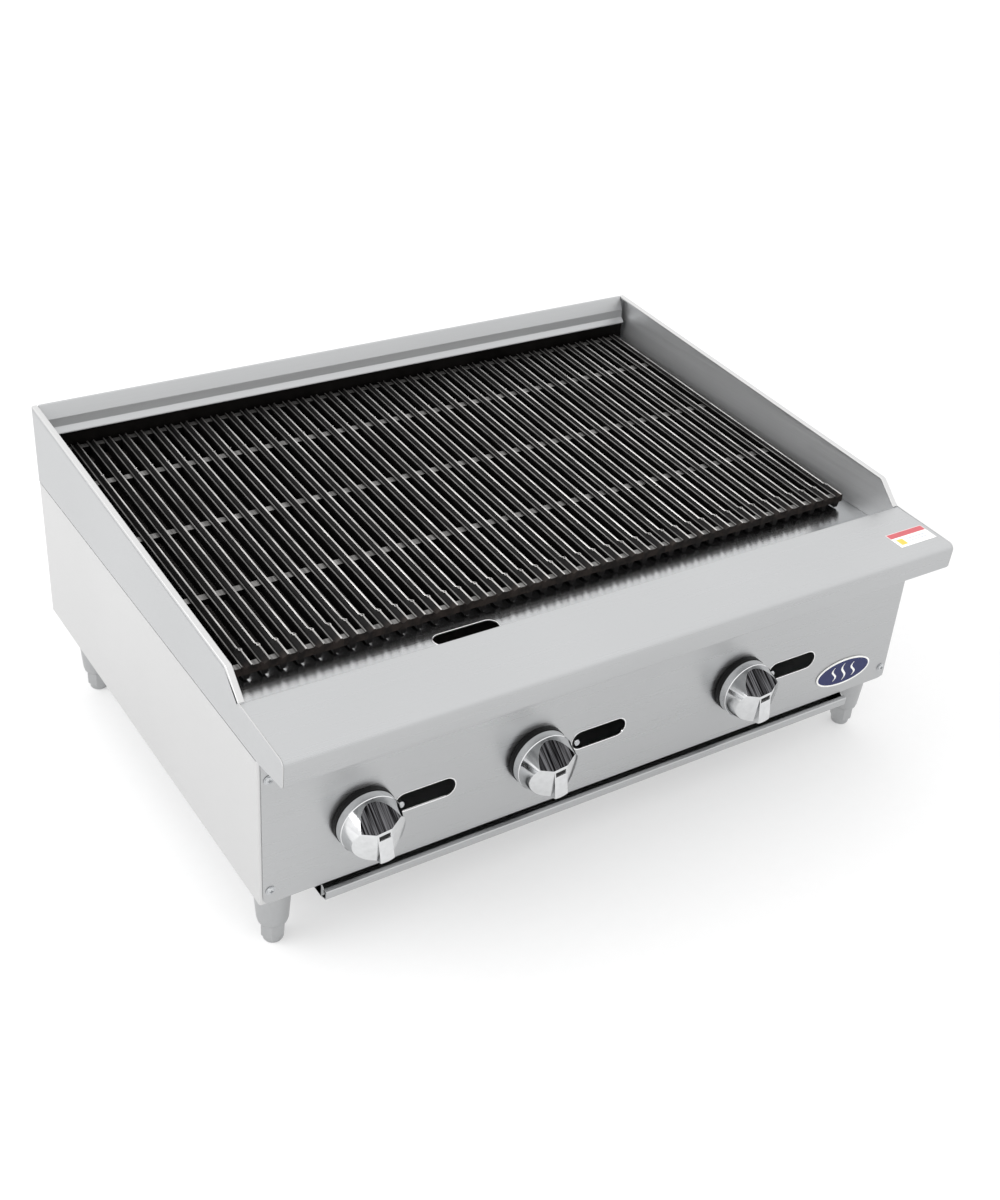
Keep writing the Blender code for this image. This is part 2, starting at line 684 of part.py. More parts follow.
def grates():
    """Six grates on a plane that rises to the back, with the two bars that carry them."""
    plane = bpy.data.objects.new("grate_plane", None)
    PARTS.objects.link(plane)
    plane.location = (0, GRATE_FRONT_Y, TOP - GRATE_FRONT_DROP)
    plane.rotation_euler = (GRATE_TILT, 0, 0)
    mesh, bars = grate_mesh()
    bridges = add_cutter("grate_bridges", bars)
    for k in range(GRATE_COUNT):
        obj = add(f"grate_{k + 1}", mesh, IRON)
        obj.parent = plane
        obj.location = ((k - GRATE_COUNT / 2) * GRATE_WIDTH, 0, 0)
        own_bridges = bpy.data.objects.new(f"grate_bridges_{k + 1}", bridges.data)
        CUTTERS.objects.link(own_bridges)
        own_bridges.hide_render = True
        own_bridges.display_type = "WIRE"
        own_bridges.parent = obj
        boolean(obj, own_bridges, "UNION")
    bpy.data.objects.remove(bridges)
    half = INNER_X - 2 * GAP
    for name, y in (("front", SUPPORT_FRONT_SET), ("rear", GRATE_LENGTH - SUPPORT_REAR_SET)):
        top = -BLADE_DEPTH - GAP
        bar = box(
            f"grate_support_{name}",
            (-half, y, top - SUPPORT_HEIGHT),
            (half, y + SUPPORT_WIDTH, top),
            GALVANISED,
        )
        bar.parent = plane


def drip_tray():
    """A shallow pan that slides out forward on two rails under the base."""
    floor = BOTTOM - TRAY_FLOOR_DROP
    rim = BOTTOM - TRAY_RIM_DROP
    edge = rectangle((-TRAY_HALF, TRAY_FRONT_Y), (TRAY_HALF, TRAY_BACK_Y))
    bm = bmesh.new()
    low = [bm.verts.new((x, y, floor)) for x, y in edge]
    high = [bm.verts.new((x, y, rim)) for x, y in edge]
    bm.faces.new(low)
    for a in (1, 2, 3):
        b = (a + 1) % 4
        bm.faces.new((low[a], low[b], high[b], high[a]))
    for a, shift in ((1, TRAY_FLANGE), (3, -TRAY_FLANGE)):
        b = (a + 1) % 4
        edge = [bm.verts.new(high[k].co + Vector((shift, 0, 0))) for k in (a, b)]
        bm.faces.new((high[a], high[b], edge[1], edge[0]))
    lip = [bm.verts.new(low[k].co + Vector((0, -TRAY_LIP_REACH, TRAY_LIP_RISE))) for k in (0, 1)]
    bm.faces.new((low[0], low[1], lip[1], lip[0]))
    bmesh.ops.recalc_face_normals(bm, faces=bm.faces)
    mesh = bpy.data.meshes.new("drip_tray")
    bm.to_mesh(mesh)
    bm.free()
    obj = add("drip_tray", mesh, STEEL)
    solidify(obj, SHEET, 0)


def tray_rails():
    """Two channels under the base that hold the tray's flanges."""
    rim = BOTTOM - TRAY_RIM_DROP
    length = TRAY_BACK_Y - TRAY_FRONT_Y - 0.020
    for name, side in (("tray_rail_left", -1), ("tray_rail_right", 1)):
        profile = [
            (-side * (RAIL_X - RAIL_REACH + 0.002), rim - SHEET - RAIL_CLEARANCE),
            (-side * RAIL_X, rim - SHEET - RAIL_CLEARANCE),
            (-side * RAIL_X, BOTTOM - GAP - SHEET / 2),
            (-side * (RAIL_X + RAIL_FLANGE), BOTTOM - GAP - SHEET / 2),
        ]
        obj = folded(name, profile, length / 2, GALVANISED, 0)
        obj.rotation_euler = (0, 0, pi / 2)
        obj.location = (0, TRAY_FRONT_Y + 0.008 + length / 2, 0)


def legs():
    """Four tapered legs, each with a foot that screws down out of it."""
    front = PANEL_Y + LEG_INSET
    back = BACK_Y - LEG_INSET - 0.045
    places = (("front_left", -1, front), ("front_right", 1, front), ("rear_left", -1, back), ("rear_right", 1, back))
    top = BOTTOM - GAP
    bore = FOOT_STUD_RADIUS + LEG_BORE_CLEARANCE
    bore_top = LEG_BOTTOM + FOOT_STUD + 0.002
    for name, side, y in places:
        leg = turned(
            f"leg_{name}",
            [
                (0, top),
                (LEG_TOP_RADIUS, top),
                (LEG_TOP_RADIUS, top - 0.004),
                (LEG_FOOT_RADIUS, LEG_BOTTOM),
                (bore, LEG_BOTTOM),
                (bore, bore_top),
                (0, bore_top),
            ],
            GALVANISED,
            20,
        )
        leg.location = (side * LEG_X, y, 0)
        foot = turned(
            f"foot_{name}",
            [
                (0, LEG_BOTTOM + FOOT_STUD),
                (FOOT_STUD_RADIUS, LEG_BOTTOM + FOOT_STUD),
                (FOOT_STUD_RADIUS, LEG_BOTTOM - GAP),
                (FOOT_RADIUS, LEG_BOTTOM - GAP),
                (FOOT_RADIUS * 0.86, 0.002),
                (FOOT_RADIUS * 0.80, 0),
                (0, 0),
            ],
            GALVANISED,
            12,
        )
        foot.location = (side * LEG_X, y, 0)


def clear_scene():
    for obj in list(bpy.data.objects):
        bpy.data.objects.remove(obj)


def new_collection(name):
    made = bpy.data.collections.new(name)
    bpy.context.scene.collection.children.link(made)
    return made


clear_scene()
PARTS = new_collection("charbroiler")
CUTTERS = new_collection("cutters")
side_panels()
side_splashes()
back_splash()
rear_panel()
base_frame()
control_panel()
front_ledge()
grease_trough()
firebox()
burners()
gas_train()
knobs()
trim()
grates()
drip_tray()
tray_rails()
legs()
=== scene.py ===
"""The finish of a countertop gas charbroiler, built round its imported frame."""

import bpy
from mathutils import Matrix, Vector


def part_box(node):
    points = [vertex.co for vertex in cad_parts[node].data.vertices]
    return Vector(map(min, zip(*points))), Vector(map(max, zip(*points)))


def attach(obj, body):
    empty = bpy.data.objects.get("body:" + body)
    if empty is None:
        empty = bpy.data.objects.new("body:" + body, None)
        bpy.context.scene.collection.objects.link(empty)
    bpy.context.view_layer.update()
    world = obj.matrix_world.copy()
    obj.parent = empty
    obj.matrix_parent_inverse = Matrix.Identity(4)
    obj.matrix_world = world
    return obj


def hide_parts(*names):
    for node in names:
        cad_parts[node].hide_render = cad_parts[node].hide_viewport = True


bl_info = {
    "name": "Charbroiler finish",
    "version": (1, 0, 0),
    "blender": (4, 5, 0),
    "location": "3D View > Sidebar > Charbroiler",
    "description": "Detailed sheet metal, grates, knobs and materials for a countertop charbroiler",
    "category": "Object",
}

from math import atan2, cos, hypot, pi, radians, sin, tan

import bmesh
import bpy
from bpy.props import FloatProperty, FloatVectorProperty, IntProperty, PointerProperty
from mathutils import Matrix, Vector

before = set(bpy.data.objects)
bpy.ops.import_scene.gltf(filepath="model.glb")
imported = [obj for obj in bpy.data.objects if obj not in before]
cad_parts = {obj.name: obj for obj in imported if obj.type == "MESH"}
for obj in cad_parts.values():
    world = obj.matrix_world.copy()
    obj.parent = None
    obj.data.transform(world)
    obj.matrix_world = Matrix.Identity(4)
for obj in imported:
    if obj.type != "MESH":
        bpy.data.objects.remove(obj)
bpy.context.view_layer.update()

SIDES = (("left", -1), ("right", 1))
STATIONS = ("left", "middle", "right")

# Places read from the frame
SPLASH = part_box("side_splash_left")
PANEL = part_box("control_panel")
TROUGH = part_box("grease_trough")
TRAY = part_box("drip_tray")
HALF_WIDTH = -SPLASH[0].x
NOSE_Y = SPLASH[0].y
BACK_Y = SPLASH[1].y
TOP = SPLASH[1].z
SEAM = SPLASH[0].z
BOTTOM = PANEL[0].z
PANEL_Y = PANEL[0].y
KNOBS = {name: (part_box(f"knob_{name}")[0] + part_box(f"knob_{name}")[1]) / 2 for name in STATIONS}

# The knob's shape, across and up from its axis
BROW = 0.0146
SLOPE_FOOT = 0.0052
NOTCH_HALF = 0.0068
NOTCH_LOW = 0.0042
NOTCH_HIGH = 0.0108
NOTCH_INSET = 0.0004
FACET_TOP = 0.0130
FACET_FALL = 0.22
FACET_SPREAD = 0.50

# Printed label on the ledge
LABEL_X = (0.3895, 0.4495)
LABEL_Y = (-0.3275, -0.2985)
LABEL_RED_EDGE = -0.3080
FILM = 0.00025
INK = 0.00035

# The least step or clearance drawn
HAIR = 0.0004

# The underside of a grate's bridges, from the top of its ridges
BRIDGE_BOTTOM = -0.0115

# Clear width between neighbouring blades
BLADE_GAP = 0.0106

# Along a blade from its front end, with how far the right ridge bulges out to the tab
TAB = ((0, 0.0026), (0.0265, 0.0026), (0.0280, 0.0034), (0.0300, 0.0034), (0.0325, 0))

# Radii of the holes for the legs' and collars' screws, the valve stems and the gas
SCREW_BORE = 0.0066
STEM_HOLE = 0.0065
VALVE_BORE = 0.0052
INLET_BORE = 0.009

REAR_SCREWS_X = (-0.40, -0.20, 0.0, 0.20, 0.36)
FLOOR_REACH = 9.0


def linear(hex_colour):
    """An sRGB hex colour as linear red, green, blue and alpha."""
    parts = [int(hex_colour[k : k + 2], 16) / 255 for k in (1, 3, 5)]
    parts = [c / 12.92 if c <= 0.04045 else ((c + 0.055) / 1.055) ** 2.4 for c in parts]
    return (*parts, 1.0)


def colour(name, text, hex_colour):
    return FloatVectorProperty(
        name=name, description=text, subtype="COLOR", size=4, min=0, max=1, default=linear(hex_colour)
    )


def length(name, text, default):
    return FloatProperty(
        name=name, description=text, default=default, min=0, unit="LENGTH", subtype="DISTANCE"
    )


def angle(name, text, degrees):
    return FloatProperty(name=name, description=text, default=radians(degrees), subtype="ANGLE")


def amount(name, text, default, **settings):
    return FloatProperty(name=name, description=text, default=default, **settings)


class GrillSheets(bpy.types.PropertyGroup):
    thickness: length("Sheet", "Thickness of the stainless sheet", 0.0012)
    bend: length("Bend", "Inside radius of a folded corner", 0.0022)
    hem: length("Hem", "Width of the hem along the top of a side", 0.0075)
    edge: length("Edge", "Rounding left on a cut edge", 0.0004)
    ledge_depth: length("Ledge depth", "From the nose back to the trough", 0.100)
    ledge_drop: length("Ledge drop", "From the top of the splash down to the back of the ledge", 0.061)
    nose_drop: length("Nose drop", "From the top of the splash down to the nose", 0.070)
    nose_radius: length("Nose radius", "Radius of the ledge's front bend", 0.008)
    apron_drop: length("Apron drop", "From the top of the splash down to the apron's edge", 0.098)
    splash_front: length("Splash front", "From the nose back to the front corner of a side", 0.129)
    splash_drop: length("Splash drop", "From the top of the splash down to a side's front corner", 0.0335)
    slot_length: length("Slot length", "Length of a lighting slot", 0.077)
    slot_height: length("Slot height", "Height of a lighting slot", 0.0245)
    slot_shifts: FloatVectorProperty(
        name="Slot shifts",
        description="From each knob's axis across to the middle of its slot",
        default=(0.0775, 0.0881, 0.0875),
        unit="LENGTH",
    )
    slot_rise: length("Slot rise", "From the panel's lower edge up to the middle of a slot", 0.0748)
    drain_length: length("Drain length", "Length of the grease slot", 0.084)
    drain_width: length("Drain width", "Width of the grease slot", 0.022)
    drain_x: amount("Drain place", "Middle of the grease slot", -0.158, unit="LENGTH")
    steel: colour("Stainless steel", "Bare brushed stainless sheet", "#B8B9BA")
    # The side sheet is brushed along the side; its colour is paler than the front's steel as painted light.
    side_steel_painted_light: colour("Side sheet", "Finer, paler finish on the outer sides", "#CDCDCD")
    galvanised: colour("Galvanised sheet", "Zinc-coated sheet inside and behind", "#9A9DA0")


class GrillGrates(bpy.types.PropertyGroup):
    blades: IntProperty(name="Blades", description="Blades in one grate", default=7, min=1)
    depth: length("Depth", "Height of a blade", 0.018)
    half: length("Half width", "Half the width of a blade at its top", 0.0052)
    ridge: length("Ridge", "Width of the flat on top of a ridge", 0.0013)
    groove: length("Groove", "Depth of the channel between two ridges", 0.0042)
    foot: length("Foot", "Half the width of a blade at its bottom", 0.0024)
    bridge_pitch: length("Bridge pitch", "Distance between rows of bridges", 0.137)
    bridge: length("Bridge", "Width of a bridge along the blade", 0.010)
    iron: colour("Cast iron", "Seasoned cast iron", "#0A0909")
    crust: colour("Crust", "Brown crust of burnt oil at the front", "#2E2825")
    worn: colour("Worn ridge", "Iron scraped bright along the ridges", "#CCCAC8")


class GrillControls(bpy.types.PropertyGroup):
    radius: length("Knob radius", "Radius at the back rim", 0.037)
    face: length("Face radius", "Radius at the front", 0.0285)
    bar: length("Grip", "Half the width of the grip bar", 0.0085)
    skirt: length("Skirt", "How far the rim reaches back over its collar", 0.0075)
    lean: angle("Lean", "Turn of the knobs at rest, anticlockwise from upright", 7)
    chrome: colour("Chrome", "Plated die casting", "#DDDEDF")
    black: colour("Black collar", "Moulded phenolic collar", "#0B0B0C")
    navy: colour("Badge", "Blue enamel of the badge", "#141E52")
    white: colour("Badge rim", "White enamel of the badge's rim", "#F2F2F0")
    red: colour("Label band", "Band along the top of the label", "#C2525A")
    yellow: colour("Label patch", "Patch in the corner of the label", "#E4C04A")


class GrillFittings(bpy.types.PropertyGroup):
    leg_top: length("Leg top", "Radius of a leg at its top", 0.0225)
    leg_foot: length("Leg bottom", "Radius of a leg at its lower end", 0.0170)
    nickel: colour("Leg finish", "Satin plated casting of the legs", "#B4B5B6")
    brass: colour("Brass", "Turned brass of the valves and fittings", "#B08D4F")
    zinc: colour("Zinc plate", "Zinc-plated screws", "#C3C5C7")
    pipe: colour("Pipe", "Black steel pipe", "#4A4B4D")
    burnt: colour("Burner iron", "Heat-blued iron of burners and radiants", "#2B2725")


class GrillStage(bpy.types.PropertyGroup):
    camera_place: FloatVectorProperty(
        name="Camera",
        description="Where the camera stands",
        subtype="TRANSLATION",
        default=(-0.9662, -1.4143, 1.2704),
    )
    azimuth: angle("Azimuth", "Camera's turn to the right of +Y", 35.07)
    elevation: angle("Elevation", "Camera's tilt down", 32.68)
    roll: angle("Roll", "Camera's turn about its own axis", 4.53)
    lens: amount("Lens", "Focal length in millimetres on a 36 mm frame", 46.995, min=1)
    tent: amount("Light tent", "Brightness of the white tent round the piece", 1.36, min=0)
    glow: amount("Floor glow", "Light coming through the floor from below", 0.40, min=0)
    left: amount("Left softbox", "Power of the softbox on the left", 30.0, min=0, unit="POWER")
    floor: colour("Floor", "Pale paper floor", "#BCBCBC")


# ---------------------------------------------------------------- materials


def add_node(tree, kind, settings=None, inputs=None):
    """A node with its settings, and its inputs as values or as the sockets that feed them."""
    made = tree.nodes.new(kind)
    for name, value in (settings or {}).items():
        setattr(made, name, value)
    for name, value in (inputs or {}).items():
        if isinstance(value, bpy.types.NodeSocket):
            tree.links.new(value, made.inputs[name])
        else:
            made.inputs[name].default_value = value
    return made


def surface(name, build):
    """The material of this name, with its node tree made by build the first time."""
    made = bpy.data.materials.get(name)
    if made is None:
        made = bpy.data.materials.new(name)
        made.use_nodes = True
        made.node_tree.nodes.clear()
        shader = build(made.node_tree)
        add_node(made.node_tree, "ShaderNodeOutputMaterial", None, {"Surface": shader.outputs[0]})
    return made


def grain(tree, scale, detail=3.0, shift=None):
    """Noise stretched by scale, in cells per metre along each axis of the piece."""
    place = add_node(tree, "ShaderNodeTexCoord").outputs["Object"]
    if shift is not None:
        place = add_node(tree, "ShaderNodeVectorMath", {"operation": "ADD"}, {0: place, 1: shift}).outputs[0]
    spread = add_node(tree, "ShaderNodeMapping", {"vector_type": "POINT"}, {"Vector": place, "Scale": scale})
    inputs = {"Vector": spread.outputs[0], "Scale": 1.0, "Detail": detail, "Roughness": 0.6}
    return add_node(tree, "ShaderNodeTexNoise", None, inputs).outputs["Fac"]


def span(tree, value, low, high, start=0.3, end=0.7):
    """A value between start and end brought to between low and high."""
    limits = {"Value": value, "From Min": start, "From Max": end, "To Min": low, "To Max": high}
    return add_node(tree, "ShaderNodeMapRange", None, limits).outputs["Result"]


def product(tree, first, second):
    return add_node(tree, "ShaderNodeMath", {"operation": "MULTIPLY"}, {0: first, 1: second}).outputs[0]


def raised(tree, height, strength, distance):
    """A normal roughened by a pattern of heights."""
    inputs = {"Strength": strength, "Distance": distance, "Height": height}
    return add_node(tree, "ShaderNodeBump", None, inputs).outputs[0]


def principled(tree, inputs):
    return add_node(tree, "ShaderNodeBsdfPrincipled", None, inputs)


def own_shift(tree):
    """A shift of the pattern that differs from piece to piece."""
    return product(tree, add_node(tree, "ShaderNodeObjectInfo").outputs["Random"], 7.0)


def mixed(tree, share, first, second):
    made = add_node(tree, "ShaderNodeMix", {"data_type": "RGBA"}, {0: share, 6: first, 7: second})
    return made.outputs[2]


def shade(tone, times):
    return (*[min(1.0, c * times) for c in tone[:3]], 1.0)


def bare_steel():
    return bpy.context.scene.grill_sheets.steel[:]


def brushed_sheet(name, tone, along, roughness, stretch=0.7, contrast=0.015, metallic=1.0):
    """Bare 304 stainless sheet, belt-brushed along one axis: reflections stay neutral and smear across
    the brush lines.

    The real lines are about 0.2 mm apart; they are drawn about 1.2 mm apart so that they show."""

    def build(tree):
        across = 820
        scale = (3.5, across, across) if along == "X" else (across, 3.5, across)
        lines = grain(tree, scale, 4.0)
        clouds = grain(tree, (3.0, 3.0, 3.0), 2.0)
        fine = mixed(tree, span(tree, lines, 0, 1), shade(tone, 1 - contrast), shade(tone, 1 + contrast))
        tangent = add_node(tree, "ShaderNodeTangent", {"direction_type": "UV_MAP", "uv_map": "brush"})
        return principled(
            tree,
            {
                "Base Color": mixed(tree, span(tree, clouds, 0, 0.35), fine, shade(tone, 0.88)),
                "Metallic": metallic,
                "Roughness": span(tree, lines, roughness - 0.04, roughness + 0.06),
                "Anisotropic": stretch,
                "Anisotropic Rotation": 0.25,
                "Tangent": tangent.outputs[0],
                "Normal": raised(tree, lines, 0.05, 0.0001),
            },
        )

    return surface(name, build)


def galvanised_sheet():
    """Hot-dip galvanised sheet: dull grey zinc with spangles about 9 mm across, each a slightly
    different grey."""
    tone = bpy.context.scene.grill_sheets.galvanised[:]

    def build(tree):
        place = add_node(tree, "ShaderNodeTexCoord").outputs["Object"]
        spangle = add_node(tree, "ShaderNodeTexVoronoi", None, {"Vector": place, "Scale": 110.0})
        grey = add_node(tree, "ShaderNodeSeparateColor", None, {"Color": spangle.outputs["Color"]}).outputs[0]
        base = mixed(tree, grey, shade(tone, 0.82), shade(tone, 1.1))
        rough = span(tree, grey, 0.42, 0.58, 0, 1)
        return principled(tree, {"Base Color": base, "Metallic": 0.9, "Roughness": rough})

    return surface("galvanised_sheet", build)


def seasoned_iron():
    """Sand-cast grey iron, seasoned with burnt oil: near black, dull in the hollows, with a brown crust
    at the front.

    The casting's sand grain is about 0.3 mm; it is drawn at 1.1 mm."""
    grates = bpy.context.scene.grill_grates
    iron, crust = grates.iron[:], grates.crust[:]

    def build(tree):
        shift = own_shift(tree)
        sand = grain(tree, (900, 900, 900), 3.0, shift)
        patches = grain(tree, (70, 70, 70), 3.0, shift)
        place = add_node(tree, "ShaderNodeTexCoord").outputs["Object"]
        apart = add_node(tree, "ShaderNodeSeparateXYZ", None, {"Vector": place})
        near = span(tree, apart.outputs["Y"], 1.0, 0.0, 0.002, 0.011)
        upper = span(tree, apart.outputs["Z"], 0.0, 1.0, -0.0130, -0.0110)
        crusted = product(tree, product(tree, near, upper), span(tree, patches, 0.25, 1.0, 0.4, 0.6))
        base = mixed(tree, span(tree, patches, 0, 1, 0.35, 0.65), shade(iron, 0.75), shade(iron, 1.4))
        return principled(
            tree,
            {
                "Base Color": mixed(tree, crusted, base, crust),
                "Metallic": 0.0,
                "Specular IOR Level": 0.12,
                "Roughness": span(tree, patches, 0.42, 0.62),
                "Normal": raised(tree, sand, 0.5, 0.0004),
            },
        )

    return surface("seasoned_cast_iron", build)


def worn_iron(name, tone, roughness):
    """The same iron scraped bare by a wire brush: thin bright lines with darker patches where oil has
    burnt on again."""

    def build(tree):
        streaks = grain(tree, (260, 22, 260), 3.0, own_shift(tree))
        base = mixed(tree, span(tree, streaks, 0, 1, 0.35, 0.62), shade(tone, 0.45), tone)
        rough = span(tree, streaks, roughness + 0.1, roughness - 0.04)
        return principled(tree, {"Base Color": base, "Metallic": 1.0, "Roughness": rough})

    return surface(name, build)


def burnt_iron():
    """Cast and rolled iron that has been red hot: dark brown scale, bluish where the heat was highest."""
    tone = bpy.context.scene.grill_fittings.burnt[:]

    def build(tree):
        patches = grain(tree, (40, 40, 40), 4.0)
        scale = mixed(tree, span(tree, patches, 0, 1, 0.35, 0.65), shade(tone, 0.6), linear("#3A3533"))
        rough = span(tree, patches, 0.5, 0.75)
        normal = raised(tree, grain(tree, (700, 700, 700)), 0.4, 0.0005)
        return principled(tree, {"Base Color": scale, "Metallic": 0.3, "Roughness": rough, "Normal": normal})

    return surface("burnt_iron", build)


def plated_metal(name, tone, roughness, patch_mm=6.0, depth=0.06):
    """A plated or turned metal: one colour with slight wear in soft patches, and its gloss a little
    uneven with them."""

    def build(tree):
        cells = 1000 / patch_mm
        patches = grain(tree, (cells, cells, cells), 3.0)
        base = mixed(tree, span(tree, patches, 0, 1), shade(tone, 0.9), tone)
        rough = span(tree, patches, roughness * 0.85, roughness * 1.25)
        normal = raised(tree, grain(tree, (1400, 1400, 1400), 2.0), depth, 0.0002)
        return principled(tree, {"Base Color": base, "Metallic": 1.0, "Roughness": rough, "Normal": normal})

    return surface(name, build)


def moulded(name, tone, roughness, grain_mm=0.8, shine=0.5):
    """Moulded plastic, enamel or printed film: a dielectric colour with a faint mottle and a fine
    surface texture."""

    def build(tree):
        cells = 1000 / grain_mm
        mottle = grain(tree, (120, 120, 120), 2.0)
        return principled(
            tree,
            {
                "Base Color": mixed(tree, span(tree, mottle, 0, 1), shade(tone, 0.92), shade(tone, 1.04)),
                "Metallic": 0.0,
                "IOR": 1.5,
                "Specular IOR Level": shine,
                "Roughness": span(tree, mottle, roughness * 0.85, roughness * 1.15),
                "Normal": raised(tree, grain(tree, (cells, cells, cells)), 0.08, 0.0002),
            },
        )

    return surface(name, build)


def front_steel():
    return brushed_sheet("brushed_stainless_front", bare_steel(), "X", 0.30)


def side_steel_painted_light():
    # painted light: a paler copy of the steel for the outer sides and the splashes' edges
    tone = bpy.context.scene.grill_sheets.side_steel_painted_light[:]
    return brushed_sheet("brushed_stainless_side_painted_light", tone, "Y", 0.42, 0.3, 0.02)


def deburred_edge_painted_highlight():
    """The polished edge of a punched and deburred slot, paler than the sheet: partly its real polish, partly
    a painted highlight of light from above.
    """
    return plated_metal("deburred_steel_edge_painted_highlight", linear("#F4F4F4"), 0.22, 4.0, 0.02)


def streaked_chrome_painted_reflection():
    """Chromium over the knob's sloping top face, linished from back to front before plating: fine streaks
    run down it. Its base colour runs from near black to mid grey, a painted dark reflection."""

    def build(tree):
        streaks = grain(tree, (420, 9, 9), 4.0)
        # painted dark reflection: near black to mid grey in place of the chrome's own colour
        base = mixed(tree, span(tree, streaks, 0, 1, 0.42, 0.68), linear("#0B0B0C"), linear("#77777A"))
        return principled(
            tree, {"Base Color": base, "Metallic": 1.0, "Roughness": span(tree, streaks, 0.2, 0.34)}
        )

    return surface("streaked_chrome_painted_reflection", build)


def splash_steel():
    """The same sheet above the seam, scoured to a duller grain that scatters more of the light."""
    return brushed_sheet("scoured_stainless_splash", bare_steel(), "X", 0.46, 0.4, 0.04, 0.8)


def inner_steel_painted_light():
    """The side splashes' inner faces: the same steel scoured along the side, made paler as painted light
    so that they stay grey beside the dark iron."""
    return brushed_sheet("scoured_stainless_inside_painted_light", shade(bare_steel(), 1.36), "Y", 0.46, 0.4, 0.04, 0.88)


def painted_shade_steel():
    """Stainless sheet behind the fire, below the back splash's lip, coloured near black as painted shade of
    the recess under the lip.
    """
    return plated_metal("steel_painted_shade_black", linear("#232120"), 0.5, 30.0, 0.1)


def chrome():
    """Bright chromium over a die-cast zinc knob."""
    return plated_metal("chromed_zinc_casting", bpy.context.scene.grill_controls.chrome[:], 0.11, 9.0, 0.03)


def brass():
    return plated_metal("turned_brass", bpy.context.scene.grill_fittings.brass[:], 0.30, 5.0)


def zinc():
    return plated_metal("zinc_plated_steel", bpy.context.scene.grill_fittings.zinc[:], 0.28, 3.0)


def nickel():
    return plated_metal("satin_nickel_casting", bpy.context.scene.grill_fittings.nickel[:], 0.42, 4.0, 0.25)


def black_phenolic():
    return moulded("moulded_phenolic", bpy.context.scene.grill_controls.black[:], 0.5, 0.8, 0.25)


# ---------------------------------------------------------------- shapes


def mesh_from(name, bm, crease):
    """A finished mesh, smooth across edges flatter than the crease in degrees."""
    bmesh.ops.recalc_face_normals(bm, faces=bm.faces)
    lay_brush_lines(bm)
    mesh = bpy.data.meshes.new(name)
    bm.to_mesh(mesh)
    bm.free()
    mesh.shade_smooth()
    mesh.set_sharp_from_angle(angle=radians(crease))
    return mesh


def make(name, bm, materials, body="root", stands_for=(), crease=32):
    """An object from this mesh that rides on a body and stands for CAD nodes."""
    return put(name, mesh_from(name, bm, crease), materials, body, stands_for)


def make_sheet(node, bm, materials):
    """The visible piece of one stainless sheet of the body."""
    return make(f"{node}_skin", bm, materials, "root", [node])


def put(name, mesh, materials, body="root", stands_for=(), place=None):
    obj = bpy.data.objects.new(name, mesh)
    bpy.context.scene.collection.objects.link(obj)
    if not mesh.materials:
        for material in materials:
            mesh.materials.append(material)
    if place is not None:
        obj.matrix_world = place
    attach(obj, body)
    if stands_for:
        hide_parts(*stands_for)
    return obj


def lay_brush_lines(bm):
    """A map in metres whose first axis runs along the brush lines: along X, or along Y on a side."""
    layer = bm.loops.layers.uv.new("brush")
    for face in bm.faces:
        n = [abs(c) for c in face.normal]
        first, second = (1, 2) if n[0] > max(n[1], n[2]) else (0, 2) if n[1] > n[2] else (0, 1)
        for loop in face.loops:
            loop[layer].uv = (loop.vert.co[first], loop.vert.co[second])


def skin(bm, rings, materials=None, capped=True, looped=False):
    """Faces between neighbouring rings of points. A material number may be given for each side of the
    ring."""
    rows = [[bm.verts.new(p) for p in ring] for ring in rings]
    count = len(rows[0])
    pairs = list(zip(rows, rows[1:]))
    if looped:
        pairs.append((rows[-1], rows[0]))
    for low, high in pairs:
        for a in range(count):
            b = (a + 1) % count
            face = bm.faces.new((low[a], low[b], high[b], high[a]))
            face.material_index = materials[a] if materials else 0
    if capped and not looped:
        bm.faces.new(rows[0])
        bm.faces.new(rows[-1])
    return rows


def block(bm, low, high, top=0, body=0):
    """A box whose top face may have its own material."""
    x0, y0, z0 = low
    x1, y1, z1 = high
    ring = [(x0, y0), (x1, y0), (x1, y1), (x0, y1)]
    made = skin(bm, [[(x, y, z0) for x, y in ring], [(x, y, z1) for x, y in ring]])
    for face in set(f for row in made for v in row for f in v.link_faces):
        up = all(abs(v.co.z - z1) < 1e-9 for v in face.verts)
        face.material_index = top if up else body


def soften(bm, width, segments=2, crease=38):
    """Round every edge that turns by more than the crease in degrees."""
    edges = [e for e in bm.edges if len(e.link_faces) == 2 and e.calc_face_angle(0) > radians(crease)]
    bmesh.ops.bevel(
        bm, geom=edges, offset=width, segments=segments, profile=0.5, affect="EDGES", clamp_overlap=True
    )


def arc(centre, radius, start, end, count):
    turns = [radians(start + (end - start) * k / count) for k in range(count + 1)]
    return [(centre[0] + radius * cos(t), centre[1] + radius * sin(t)) for t in turns]


def corner(a, b, c, radius, steps):
    """The bend at b on the way from a to c."""
    a, b, c = Vector(a), Vector(b), Vector(c)
    back, ahead = a - b, c - b
    half = back.angle(ahead) / 2
    reach = min(radius / max(tan(half), 1e-4), 0.45 * back.length, 0.45 * ahead.length)
    start, end = b + back.normalized() * reach, b + ahead.normalized() * reach
    shares = [k / steps for k in range(steps + 1)]
    return [tuple(start * (1 - t) ** 2 + b * 2 * t * (1 - t) + end * t * t) for t in shares]


def rounded(points, radius, steps=5):
    """A line of points with each inner corner turned into an arc."""
    made = [points[0]]
    for a, b, c in zip(points, points[1:], points[2:]):
        made += corner(a, b, c, radius, steps)
    return [*made, points[-1]]


def closed_round(points, radii, steps):
    """A closed outline with a radius at each corner."""
    made = []
    for k, radius in enumerate(radii):
        made += corner(points[k - 1], points[k], points[(k + 1) % len(points)], radius, steps)
    return made


